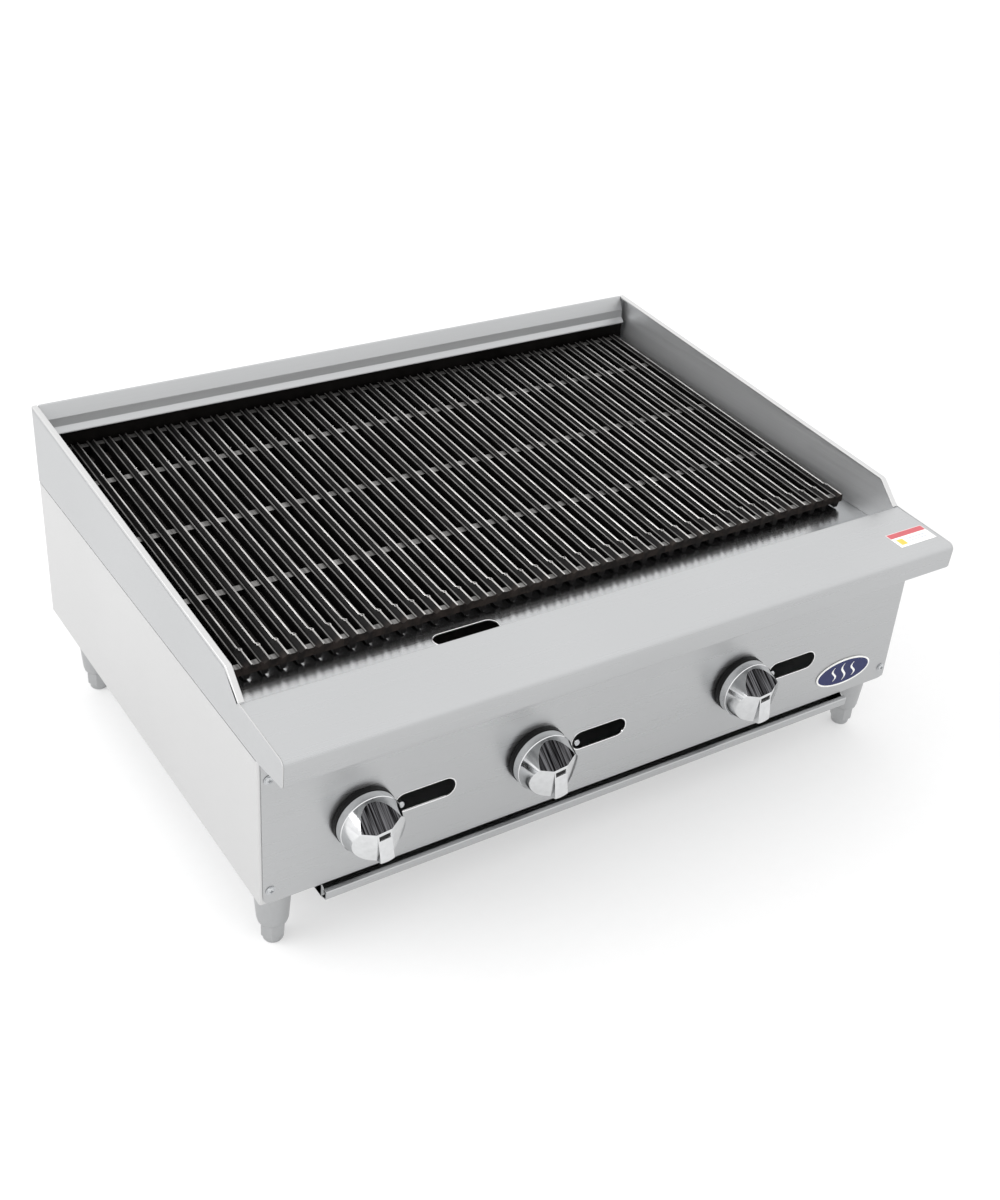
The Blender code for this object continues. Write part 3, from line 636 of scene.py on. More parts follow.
def beside(points, distance):
    """The line moved to its left by a distance, kept parallel at its corners."""
    made = []
    for k, point in enumerate(points):
        here = Vector(point)
        normals = []
        for a, b in ((k - 1, k), (k, k + 1)):
            if a >= 0 and b < len(points):
                along = (Vector(points[b]) - Vector(points[a])).normalized()
                normals.append(Vector((-along.y, along.x)))
        normal = sum(normals, Vector((0, 0))).normalized()
        made.append(tuple(here + normal * distance / max(0.3, normal.dot(normals[0]))))
    return made


def fold(bm, line, thickness, place, start, end):
    """A sheet folded to a line: place turns a point of the line and a distance along the fold into a
    position."""
    ring = list(line) + beside(line, thickness)[::-1]
    skin(bm, [[place(p, q, t) for p, q in ring] for t in (start, end)])


def circle(radius, count):
    turns = [2 * pi * k / count for k in range(count)]
    return [(radius * cos(t), radius * sin(t)) for t in turns]


def turned(bm, profile, place, count=48, looped=False):
    """A profile of radius and height turned about an axis; place turns across, across and along into a
    position."""
    rings = [[place(p, q, height) for p, q in circle(max(radius, 1e-5), count)] for radius, height in profile]
    return skin(bm, rings, looped=looped)


def carved(bm, *cutters):
    """The mesh with each cutter taken away, as a new mesh."""
    whole = loose(bm)
    tools = [loose(cutter) for cutter in cutters]
    for tool in tools:
        step = whole.modifiers.new("cut", "BOOLEAN")
        step.operation = "DIFFERENCE"
        step.solver = "EXACT"
        step.object = tool
    bpy.context.view_layer.update()
    graph = bpy.context.evaluated_depsgraph_get()
    result = bmesh.new()
    result.from_mesh(whole.evaluated_get(graph).to_mesh())
    for obj in [whole, *tools]:
        mesh = obj.data
        bpy.data.objects.remove(obj)
        bpy.data.meshes.remove(mesh)
    bmesh.ops.dissolve_degenerate(result, dist=1e-6, edges=result.edges)
    return result


def loose(bm):
    bmesh.ops.recalc_face_normals(bm, faces=bm.faces)
    mesh = bpy.data.meshes.new("loose")
    bm.to_mesh(mesh)
    bm.free()
    obj = bpy.data.objects.new("loose", mesh)
    bpy.context.scene.collection.objects.link(obj)
    return obj


def prism(outline, place, low, high):
    bm = bmesh.new()
    skin(bm, [[place(p, q, t) for p, q in outline] for t in (low, high)])
    return bm


def slot_outline(centre, slot_length, height, count=10):
    reach = (slot_length - height) / 2
    right = arc((centre[0] + reach, centre[1]), height / 2, -90, 90, count)
    left = arc((centre[0] - reach, centre[1]), height / 2, 90, 270, count)
    return right + left


def along_x(p, q, t):
    return (t, p, q)


def middle(node):
    """The middle of a node across and up, and half its width."""
    low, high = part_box(node)
    return (low.x + high.x) / 2, (low.z + high.z) / 2, (high.x - low.x) / 2


def finish_node(name, material):
    """One finish for a CAD node that is kept as it is."""
    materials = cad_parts[name].data.materials
    materials.clear()
    materials.append(material)


def on_front(x, z, w):
    """A point of the panel's plane, w out from its face."""
    return (x, PANEL_Y - w, z)


def ledge_line():
    """The outside of the ledge in Y and Z, from its back edge over the nose to the apron's edge."""
    sheets = bpy.context.scene.grill_sheets
    r = sheets.nose_radius
    centre = (NOSE_Y + r, TOP - sheets.nose_drop - r * 0.35)
    line = [(NOSE_Y + sheets.ledge_depth, TOP - sheets.ledge_drop)]
    line += arc(centre, r, 95, 180, 9)
    line.append((NOSE_Y + 0.0012, TOP - sheets.apron_drop))
    return line


def ledge_height(y):
    """The height of the ledge's sloping top at y."""
    line = ledge_line()
    (y0, z0), (y1, z1) = line[0], line[1]
    return z0 + (y - y0) / (y1 - y0) * (z1 - z0)


# ---------------------------------------------------------------- pieces


class GRILL_OT_sides(bpy.types.Operator):
    """Side panels with a rounded front fold, and side splashes with a hemmed edge"""

    bl_idname = "grill.sides"
    bl_label = "Side sheets"

    def execute(self, context):
        sheets = context.scene.grill_sheets
        for name, side in SIDES:
            self.panel(sheets, name, side)
            self.splash(sheets, name, side)
        return {"FINISHED"}

    def panel(self, sheets, name, side):
        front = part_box(f"side_panel_{name}")[0].y
        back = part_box(f"side_panel_{name}")[1].y
        bm = bmesh.new()
        line = rounded([(0, back), (0, front), (0.018, front)], 0.003)

        def upright(u, y, z):
            return (side * (HALF_WIDTH - u), y, z)

        def lying(u, z, y):
            return upright(u, y, z)

        fold(bm, line, sheets.thickness, upright, BOTTOM, SEAM - 0.0009)
        low = BOTTOM + 0.0002
        line = rounded([(0.0014, BOTTOM + 0.006), (0.0014, low), (0.018, low)], 0.0012)
        fold(bm, line, sheets.thickness, lying, front + 0.02, back - 0.02)
        soften(bm, sheets.edge)
        node = f"side_panel_{name}"
        make(f"side_panel_skin_{name}", bm, [side_steel_painted_light()], "root", [node])

    def splash(self, sheets, name, side):
        corner = Vector((NOSE_Y + sheets.splash_front, TOP - sheets.splash_drop))
        foot = Vector(ledge_line()[0]) + Vector((0.0, 0.0006))
        rear = Vector((BACK_Y, TOP))
        edge = rounded([tuple(rear), tuple(corner), tuple(foot)], 0.007, 6)
        lowered = beside(edge, 0.0042)
        outline = [(BACK_Y, SEAM)] + lowered[:-1] + [(foot.x + 0.0004, foot.y)] + ledge_line()[1:]
        outline[-1] = (outline[-1][0], outline[-1][1] + 0.002)
        outline += [(NOSE_Y + 0.0032, TOP - sheets.apron_drop - 0.0004), (PANEL_Y, SEAM)]
        bm = prism(outline, lambda y, z, u: (side * (HALF_WIDTH - u), y, z), 0, sheets.thickness)
        hem = rounded([(0, -0.0046), (0, 0), (sheets.hem, 0), (sheets.hem, -0.0028)], 0.0016, 4)
        ring = hem + beside(hem, -sheets.thickness)[::-1]
        rings = []
        for point, inner in zip(edge, beside(edge, 1.0)):
            down = Vector(inner) - Vector(point)
            place = [Vector(point) - down * n for _, n in ring]
            rings.append([(side * (HALF_WIDTH - u), p.x, p.y) for (u, _), p in zip(ring, place)])
        skin(bm, rings)
        soften(bm, sheets.edge)
        bmesh.ops.recalc_face_normals(bm, faces=bm.faces)
        # Outer faces take the scoured steel (material 1); inner faces take its paler copy as painted light
        # (material 2).
        for face in bm.faces:
            if abs(face.normal.x) > 0.9 and face.calc_area() > 0.001:
                face.material_index = 1 if face.normal.x * side > 0 else 2
        finishes = [side_steel_painted_light(), splash_steel(), inner_steel_painted_light()]
        make(f"side_splash_skin_{name}", bm, finishes, "root", [f"side_splash_{name}"])


class GRILL_OT_back(bpy.types.Operator):
    """The back splash in its three bands, and the sheet behind it with its screws"""

    bl_idname = "grill.back"
    bl_label = "Back splash and rear sheet"

    def execute(self, context):
        sheets = context.scene.grill_sheets
        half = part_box("back_splash")[1].x
        y, z = BACK_Y - 0.0015, TOP - sheets.thickness
        line = [(BACK_Y - 0.0002, z), (y, z), (y - 0.008, z - 0.017), (y - 0.0085, z - 0.029)]
        line += [(y - 0.015, z - 0.0345), (y - 0.015, z - 0.0362), (y - 0.011, z - 0.0368)]
        line.append((y - 0.011, SEAM - 0.010))
        bm = bmesh.new()
        fold(bm, rounded(line, sheets.bend), -sheets.thickness, along_x, -half, half)
        soften(bm, sheets.edge)
        # Faces below the lip take the near-black steel (material 1) as painted shade.
        for face in bm.faces:
            if face.calc_center_median().z < z - 0.0355:
                face.material_index = 1
        make_sheet("back_splash", bm, [splash_steel(), painted_shade_steel()])
        finish_node("rear_panel", galvanised_sheet())
        finish_node("base_frame", galvanised_sheet())
        finish_node("firebox", burnt_iron())
        bm = bmesh.new()
        for x in REAR_SCREWS_X:
            for height in (BOTTOM + 0.012, TOP - 0.020):
                dome = [(0.0, 0.0), (0.0042, 0.0), (0.0042, 0.0005), (0.0030, 0.0013), (0.0, 0.0016)]
                turned(bm, dome, lambda a, b, w, x=x, h=height: (x + a, BACK_Y + w - HAIR, h + b), 16)
        make("rear_screws", bm, [zinc()], "root")
        return {"FINISHED"}


class GRILL_OT_ledge(bpy.types.Operator):
    """The front ledge with its nose and apron, and the grease trough behind it with its drain slot"""

    bl_idname = "grill.ledge"
    bl_label = "Ledge and trough"

    def execute(self, context):
        sheets = context.scene.grill_sheets
        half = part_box("front_ledge")[1].x
        trough_z = TROUGH[0].z + sheets.thickness
        line = ledge_line()
        line = [(line[0][0], trough_z + 0.013)] + line
        line.append((PANEL_Y - 0.0015, TOP - sheets.apron_drop - 0.003))
        bends = rounded(line[:3], sheets.bend)[:-1] + line[2:-2] + rounded(line[-3:], 0.0018)[1:]
        bm = bmesh.new()
        fold(bm, bends, sheets.thickness, along_x, -half, half)
        soften(bm, sheets.edge)
        make_sheet("front_ledge", bm, [front_steel()])
        self.trough(sheets, half, trough_z)
        return {"FINISHED"}

    def trough(self, sheets, half, floor):
        front, back = TROUGH[0].y + 0.0012, TROUGH[1].y - 0.0012
        line = [(front, floor + 0.022), (front, floor), (back, floor), (back, floor + 0.003)]
        bm = bmesh.new()
        fold(bm, rounded(line, 0.003), -sheets.thickness, along_x, -half, half)
        centre = (sheets.drain_x, front + 0.047)
        hole = slot_outline(centre, sheets.drain_length, sheets.drain_width, 8)
        cutter = prism(hole, lambda x, y, z: (x, y, z), floor - 0.01, floor + 0.01)
        bm = carved(bm, cutter)
        rim(
            bm,
            centre,
            sheets.drain_length,
            sheets.drain_width,
            lambda x, y, w: (x, y, floor + w),
            sheets.thickness,
        )
        floor_steel = brushed_sheet("rolled_stainless_trough", bare_steel(), "X", 0.17, 0.75)
        make_sheet("grease_trough", bm, [floor_steel, deburred_edge_painted_highlight()])


def rim(bm, centre, slot_length, height, place, depth):
    """The rolled edge of a punched slot, just proud of the sheet."""
    before = set(bm.faces)
    rings = []
    steps = (
        (0.0012, -0.0001), (0.0010, 0.0003), (0.0004, 0.0005), (-0.0002, 0.0002), (-0.0004, -depth - 0.0002)
    )
    for grow, w in steps:
        outline = slot_outline(centre, slot_length + 2 * grow, height + 2 * grow, 12)
        rings.append([place(x, z, w) for x, z in outline])
    skin(bm, rings, capped=False)
    # The rim takes the edge steel with its painted highlight (material 1).
    for face in set(bm.faces) - before:
        face.material_index = 1


class GRILL_OT_panel(bpy.types.Operator):
    """The control panel, punched for the valve stems and the lighting slots, with its screws"""

    bl_idname = "grill.panel"
    bl_label = "Control panel"

    def execute(self, context):
        sheets = context.scene.grill_sheets
        side = PANEL[1].x
        corners = [(-side, BOTTOM), (side, BOTTOM), (side, PANEL[1].z), (-side, PANEL[1].z)]
        outline = closed_round(corners, (0.010, 0.010, 0.002, 0.002), 6)
        bm = prism(outline, on_front, -sheets.thickness, 0)
        soften(bm, sheets.edge, 2, 60)
        cutters = []
        slots = []
        for knob, shift in zip(KNOBS.values(), sheets.slot_shifts):
            slot = (knob.x + shift, BOTTOM + sheets.slot_rise)
            slots.append(slot)
            outline = slot_outline(slot, sheets.slot_length, sheets.slot_height)
            cutters.append(prism(outline, on_front, -0.01, 0.01))
            cutters.append(prism(arc((knob.x, knob.z), STEM_HOLE, 0, 345, 23), on_front, -0.01, 0.01))
        bm = carved(bm, *cutters)
        for slot in slots:
            rim(bm, slot, sheets.slot_length, sheets.slot_height, on_front, sheets.thickness)
        make_sheet("control_panel", bm, [front_steel(), deburred_edge_painted_highlight()])
        self.screws()
        return {"FINISHED"}

    def screws(self):
        for name, _ in SIDES:
            for rise in ("low", "high"):
                x, z, r = middle(f"panel_screw_{name}_{rise}")
                bm = bmesh.new()
                dome = [(0, 0.0003), (r * 1.25, 0.0003), (r * 1.25, 0.0008), (r, 0.0009)]
                dome += [(r * 0.96, 0.0017), (r * 0.6, 0.0027), (0, 0.0030)]
                turned(bm, dome, lambda a, b, w: on_front(x + a, z + b, w), 32)
                across = [(-0.0022, -0.0006), (0.0022, -0.0006), (0.0022, 0.0006), (-0.0022, 0.0006)]
                flat = prism(across, lambda a, b, w: on_front(x + a, z + b, w), 0.0016, 0.006)
                tall = prism(across, lambda a, b, w: on_front(x + b, z + a, w), 0.0016, 0.006)
                bm = carved(bm, flat, tall)
                node = f"panel_screw_{name}_{rise}"
                make(f"panel_screw_head_{name}_{rise}", bm, [zinc()], "root", [node])


class GRILL_OT_grates(bpy.types.Operator):
    """Six cast grates: grooved blades, lower bridges, front tabs, and ridges worn bright"""

    bl_idname = "grill.grates"
    bl_label = "Grates"

    def execute(self, context):
        grates = context.scene.grill_grates
        low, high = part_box("grate_1")
        pitch = (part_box("grate_6")[1].x - low.x + BLADE_GAP) / (6 * grates.blades)
        rise, run = high.z - low.z - grates.depth, high.y - low.y
        tilt = atan2(rise, run)
        reach = hypot(rise, run) - grates.depth * sin(tilt)
        mesh = self.casting(grates, pitch, reach)
        bright = worn_iron("scraped_iron_ridge", grates.worn[:], 0.30)
        # A darker copy of the worn iron: on the bridges' tops, and on the left ridge as painted shade beside
        # the lit right ridge.
        dull = worn_iron("worn_iron_bridge_and_painted_shade_ridge", shade(grates.worn[:], 0.36), 0.45)
        for k in range(6):
            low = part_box(f"grate_{k + 1}")[0]
            edge = low.x - (pitch / 2 - grates.half)
            start = Vector((edge, low.y, low.z + grates.depth * cos(tilt)))
            place = Matrix.Translation(start) @ Matrix.Rotation(tilt, 4, "X")
            node = f"grate_{k + 1}"
            finishes = [seasoned_iron(), bright, dull]
            put(f"grate_casting_{k + 1}", mesh, finishes, f"{node}_body", [node], place)
        finish_node("grate_support_front", burnt_iron())
        finish_node("grate_support_rear", burnt_iron())
        return {"FINISHED"}

    def casting(self, grates, pitch, reach):
        bm = bmesh.new()
        for k in range(grates.blades):
            self.blade(bm, grates, (k + 0.5) * pitch, reach)
        rows = [j * grates.bridge_pitch for j in range(1, int(reach / grates.bridge_pitch) + 1)]
        side = grates.half - 0.0006
        for k in range(grates.blades + 1):
            left = 0.0008 if k == 0 else (k - 0.5) * pitch + side
            right = grates.blades * pitch - 0.0008 if k == grates.blades else (k + 0.5) * pitch - side
            for y in rows:
                block(
                    bm,
                    (left, y - grates.bridge / 2, BRIDGE_BOTTOM),
                    (right, y + grates.bridge / 2, -0.0032),
                    2,
                )
            block(bm, (left, 0.0004, BRIDGE_BOTTOM), (right, 0.0085, -0.0016), 2)
            block(bm, (left, reach - 0.009, BRIDGE_BOTTOM), (right, reach - 0.0006, -0.0032), 2)
        block(
            bm,
            (0.0008, 0.0002, BRIDGE_BOTTOM),
            (grates.blades * pitch - 0.0008, 0.006, -grates.groove - 0.0006),
        )
        return mesh_from("grate_casting", bm, 30)

    def blade(self, bm, grates, x, reach):
        """One blade: two ridges with a channel between, wider towards the gap at its front end."""
        h, r, g = grates.half, grates.ridge, grates.groove
        rings = []
        for y, out in (*TAB, (reach, 0)):
            section = [
                (-h, -0.0007),
                (-h + 0.0004, -0.0001),
                (-h + 0.0004 + r * 0.7, -0.0001),
                (-h + 0.0008 + r * 0.7, -0.0006),
                (0, -g),
                (h - 0.0007 - r + out, -0.0005),
                (h - 0.0003 - r + out, 0),
                (h - 0.0003 + out, 0),
                (h + out, -0.0006),
                (grates.foot + out * 0.4, -grates.depth),
                (-grates.foot, -grates.depth),
            ]
            rings.append([(x + dx, y, z) for dx, z in section])
        # The left ridge's outer edges take the darker worn iron (material 2) as painted shade; the right
        # ridge takes the bright worn iron (material 1).
        skin(bm, rings, [2, 2, 0, 0, 0, 1, 1, 1, 0, 0, 0])
        for y in (0.0285, 3 * grates.bridge_pitch + 0.0105):
            self.nub(bm, x + h - 0.0003 - r / 2 + (0.0016 if y < 0.1 else 0), y)

    def nub(self, bm, x, y):
        """A small cast pip on a ridge."""
        rings = []
        for radius, z in ((0.0021, -0.0008), (0.0019, 0.0002), (0.0010, 0.0007)):
            rings.append([(x + p, y + q, z) for p, q in circle(radius, 8)])
        skin(bm, rings, [1] * 8)


class GRILL_OT_fire(bpy.types.Operator):
    """Heat-blued finish for the burners and radiants under the grates, and brass for the pilots"""

    bl_idname = "grill.fire"
    bl_label = "Burners and radiants"

    def execute(self, context):
        for name in STATIONS:
            finish_node(f"burner_{name}", burnt_iron())
            finish_node(f"radiant_{name}", burnt_iron())
            finish_node(f"pilot_{name}", brass())
        return {"FINISHED"}


class GRILL_OT_gas(bpy.types.Operator):
    """Manifold, inlet fitting and valve bodies behind the panel"""

    bl_idname = "grill.gas"
    bl_label = "Gas train"

    def execute(self, context):
        fittings = context.scene.grill_fittings
        pipe = plated_metal("black_steel_pipe", fittings.pipe[:], 0.42, 8.0, 0.2)
        finish_node("gas_manifold", pipe)
        for name in STATIONS:
            self.valve(name)
        self.pilot_screws(context.scene.grill_sheets)
        self.inlet()
        return {"FINISHED"}

    def valve(self, name):
        low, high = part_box(f"gas_valve_{name}")
        x, z = KNOBS[name].x, KNOBS[name].z
        front, back = low.y, high.y
        r = (high.x - low.x) / 2

        def place(a, b, w):
            return (x + a, front + w, z + b)

        bm = bmesh.new()
        deep = back - front
        body = [(VALVE_BORE, 0.0), (r * 0.62, 0.0), (r * 0.70, 0.001), (r * 0.70, 0.005)]
        body += [(r * 0.95, 0.006), (r * 0.95, deep - 0.001), (r * 0.80, deep), (VALVE_BORE, deep)]
        turned(bm, body, place, 32, True)
        soften(bm, 0.0004)
        skin(
            bm, [[place(a, b, w) for a, b in circle(r * 0.98, 6)] for w in (deep * 0.45, deep * 0.45 + 0.007)]
        )
        make(f"gas_valve_body_{name}", bm, [brass()], "root", [f"gas_valve_{name}"])

    def pilot_screws(self, sheets):
        """The adjusting screw of each pilot, at the lower left of its slot."""
        bm = bmesh.new()
        for knob, shift in zip(KNOBS.values(), sheets.slot_shifts):
            x = knob.x + shift - sheets.slot_length / 2 + 0.0105
            z = BOTTOM + sheets.slot_rise - sheets.slot_height / 2 + 0.0062
            dome = [(0, -0.012), (0.0030, -0.012), (0.0030, -0.0065), (0.0042, -0.0060)]
            dome += [(0.0042, -0.0040), (0.0034, -0.0030), (0, -0.0030)]
            turned(bm, dome, lambda a, b, w, x=x, z=z: on_front(x + a, z + b, w), 20)
        make("pilot_screws", bm, [zinc()], "root")

    def inlet(self):
        low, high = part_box("gas_inlet")
        x, z, r = middle("gas_inlet")

        def place(a, b, w):
            return (x + a, low.y + w, z + b)

        deep = high.y - low.y
        profile = [(INLET_BORE, 0.0), (r * 0.8, 0.0), (r * 0.8, deep * 0.35)]
        for k in range(7):
            w = deep * 0.42 + k * deep * 0.075
            profile += [(r * 0.92, w), (r * 0.98, w + deep * 0.02), (r * 0.92, w + deep * 0.045)]
        profile += [(r * 0.9, deep), (INLET_BORE, deep)]
        bm = bmesh.new()
        turned(bm, profile, place, 32, True)
        skin(bm, [[place(a, b, w) for a, b in circle(r, 6)] for w in (deep * 0.08, deep * 0.33)])
        make("gas_inlet_fitting", bm, [brass()], "root", ["gas_inlet"])


class GRILL_OT_knobs(bpy.types.Operator):
    """Chromed knobs with a grip bar between two sloping facets, on black collars"""

    bl_idname = "grill.knobs"
    bl_label = "Knobs"

    def execute(self, context):
        controls = context.scene.grill_controls
        for name in STATIONS:
            self.collar(name)
            self.knob(controls, name)
        return {"FINISHED"}

    def collar(self, name):
        x, z, r = middle(f"knob_bezel_{name}")
        deep = PANEL_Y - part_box(f"knob_bezel_{name}")[0].y
        step, inner = deep - bpy.context.scene.grill_controls.skirt - HAIR, r - 0.0019
        profile = [(SCREW_BORE, HAIR), (r - HAIR, HAIR), (r, 0.001), (r, step - 0.0006), (r - 0.0006, step)]
        profile += [(inner, step), (inner, deep - 0.0001), (SCREW_BORE, deep - 0.0001)]
        bm = bmesh.new()
        turned(bm, profile, lambda a, b, w: on_front(x + a, z + b, w), 64, True)
        make(f"knob_collar_{name}", bm, [black_phenolic()], "root", [f"knob_bezel_{name}"])

    def knob(self, controls, name):
        low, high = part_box(f"knob_{name}")
        x, z = KNOBS[name].x, KNOBS[name].z
        back, front = PANEL_Y - high.y, PANEL_Y - low.y
        r, f, bar = controls.radius, controls.face, controls.bar

        lean_cos, lean_sin = cos(controls.lean), sin(controls.lean)

        def place(u, v, w):
            return on_front(x + u * lean_cos - v * lean_sin, z + v * lean_cos + u * lean_sin, w)

        edge = back - controls.skirt
        profile = [
            (0.0, back), (r - 0.0011, back), (r - 0.0011, edge), (r - 0.0004, edge), (r, edge + 0.0006)
        ]
        profile += [(r, back + 0.0024), (r - 0.0007, back + 0.0032)]
        profile += [(f + 0.0012, front - 0.0022), (f, front), (0.0, front)]
        bm = bmesh.new()
        turned(bm, profile, place, 72)
        foot = back + SLOPE_FOOT
        slope = [(BROW, front), (r - 0.0006, foot), (0.07, foot), (0.07, front + 0.03), (BROW, front + 0.03)]
        cutters = [prism(slope, lambda v, w, u: place(u, v, w), -0.06, 0.06)]
        for side in (-1, 1):
            cutters.append(self.facet(place, side, bar, front))
        cutters.append(prism(self.notch(0), place, front - 0.0012, front + 0.02))
        bm = carved(bm, *cutters)
        soften(bm, 0.0006, 3, 22)
        rows = skin(
            bm,
            [[place(u, v, w) for u, v in self.notch(NOTCH_INSET)] for w in (front - 0.0016, front - 0.0009)],
        )
        for face in set(f for row in rows for v in row for f in v.link_faces):
            face.material_index = 1
        # The sloping top face takes the chrome with a painted dark reflection (material 2).
        rise, run = front - foot, r - 0.0006 - BROW
        upright = Vector((-lean_sin * rise, -run, lean_cos * rise)).normalized()
        bm.normal_update()
        for face in bm.faces:
            if face.material_index == 0 and face.calc_area() > 1e-4 and abs(face.normal.dot(upright)) > 0.99:
                face.material_index = 2
        finishes = [chrome(), black_phenolic(), streaked_chrome_painted_reflection()]
        make(f"knob_shell_{name}", bm, finishes, f"knob_{name}_body", [f"knob_{name}"], 24)

    def notch(self, inset):
        """The outline of the dark inlay on top of the grip bar."""
        half, low, high = NOTCH_HALF - inset, NOTCH_LOW + inset, NOTCH_HIGH - inset
        return [(-half, low), (half, low), (half, high), (-half, high)]

    def facet(self, place, side, bar, front):
        """The wedge cut away beside the grip bar; it slopes outwards and a little towards the bottom."""
        bm = bmesh.new()

        def depth(u, v):
            return front + (v - FACET_TOP) * FACET_FALL - (u - bar) * FACET_SPREAD

        rings = []
        for u in (bar, 0.06):
            ring = [
                (-0.06, depth(u, -0.06)), (0.06, depth(u, 0.06)), (0.06, front + 0.06), (-0.06, front + 0.06)
            ]
            rings.append([place(side * u, v, w) for v, w in ring])
        skin(bm, rings)
        return bm


class GRILL_OT_trim(bpy.types.Operator):
    """The oval badge with a plain heat mark, and a plain label on the ledge"""

    bl_idname = "grill.trim"
    bl_label = "Badge and label"

    def execute(self, context):
        controls = context.scene.grill_controls
        self.badge(controls)
        self.label(controls)
        return {"FINISHED"}

    def badge(self, controls):
        x, z, rx = middle("badge")
        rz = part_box("badge")[1].z - z
        bm = bmesh.new()
        rings = []
        for inset, w in ((0, 0.0004), (0, 0.0015), (0.0005, 0.0019), (0.0021, 0.0019), (0.0025, 0.0015)):
            rings.append([on_front(x + (rx - inset) * p, z + (rz - inset) * q, w) for p, q in circle(1, 64)])
        rows = skin(bm, rings)
        for face in rows[-1][0].link_faces:
            if len(face.verts) == 64:
                face.material_index = 1
        for k in (-1, 0, 1):
            self.wave(bm, x + k * 0.0165, z, 0.0130 if k == 0 else 0.0105)
        white = moulded("white_enamel", controls.white[:], 0.25)
        navy = moulded("blue_enamel", controls.navy[:], 0.22, 0.8, 0.3)
        make("badge_plate", bm, [white, navy], "root", ["badge"])

    def wave(self, bm, x, z, half):
        """One rising wave of the heat mark."""
        rings = []
        for j in range(17):
            t = j / 16
            width = 0.0019 * sin(pi * min(max(t, 0.08), 0.92))
            across = 0.0034 * sin(2 * pi * t)
            height = z + (2 * t - 1) * half
            rings.append(
                [
                    on_front(x + across + d, height, w)
                    for d, w in ((-width, 0.0013), (-width, 0.0018), (width, 0.0018), (width, 0.0013))
                ],
            )
        skin(bm, rings)

    def label(self, controls):
        (x0, x1), (front, back) = LABEL_X, LABEL_Y
        parts = (
            (x0, x1, front, back, FILM),
            (x0 + 0.0006, x1 - 0.0006, LABEL_RED_EDGE, back - 0.0006, INK),
            (x0 + 0.005, x0 + 0.015, front + 0.004, LABEL_RED_EDGE - 0.004, INK),
            (x0 + 0.021, x1 - 0.006, front + 0.0125, front + 0.0135, INK),
            (x0 + 0.021, x1 - 0.006, front + 0.0075, front + 0.0085, INK),
        )
        bm = bmesh.new()
        for (left, right, near, far, lift), material in zip(parts, (0, 1, 2, 3, 3)):
            before = set(bm.faces)
            ring = [(left, near), (right, near), (right, far), (left, far)]
            skin(bm, [[(x, y, ledge_height(y) + above) for x, y in ring] for above in (0.00005, lift)])
            for face in set(bm.faces) - before:
                face.material_index = material
        film = moulded("label_film", linear("#F4F4F2"), 0.35)
        red = moulded("label_red_ink", controls.red[:], 0.35)
        yellow = moulded("label_yellow_ink", controls.yellow[:], 0.35)
        grey = moulded("label_grey_ink", linear("#A9AEBC"), 0.35)
        make("ledge_label", bm, [film, red, yellow, grey], "root")


class GRILL_OT_tray(bpy.types.Operator):
    """The drip tray with its sloping lip, and the rails it slides on"""

    bl_idname = "grill.tray"
    bl_label = "Drip tray and rails"

    def execute(self, context):
        sheets = context.scene.grill_sheets
        low, high = TRAY
        half = high.x - 0.010
        floor = low.z + sheets.thickness / 2
        rim_z = high.z - sheets.thickness / 2
        back = high.y - sheets.thickness / 2
        lip_y = low.y + 0.0006
        front = lip_y + 0.012
        bm = bmesh.new()
        line = [(lip_y + 0.0055, rim_z - 0.0014), (lip_y, rim_z - 0.0022), (lip_y + 0.0008, floor + 0.0035)]
        line += [(front, floor), (back, floor), (back, rim_z)]
        fold(bm, rounded(line, 0.0016), sheets.thickness, along_x, -half, half)
        for side in (-1, 1):
            line = rounded([(0, floor), (0, rim_z), (0.010, rim_z)], 0.0015)
            fold(bm, line, sheets.thickness, lambda u, z, y: (side * (half + u), y, z), front, back)
            cheek = [(front, floor), (front + 0.02, floor), (front + 0.02, rim_z), (front, rim_z)]
            cheek.append((lip_y + 0.003, floor + 0.0105))
            skin(bm, [[(side * (half - u), y, z) for y, z in cheek] for u in (0.0, sheets.thickness)])
        soften(bm, sheets.edge)
        make("drip_tray_pan", bm, [front_steel()], "drip_tray_body", ["drip_tray"])
        for name, _ in SIDES:
            finish_node(f"tray_rail_{name}", galvanised_sheet())
        return {"FINISHED"}


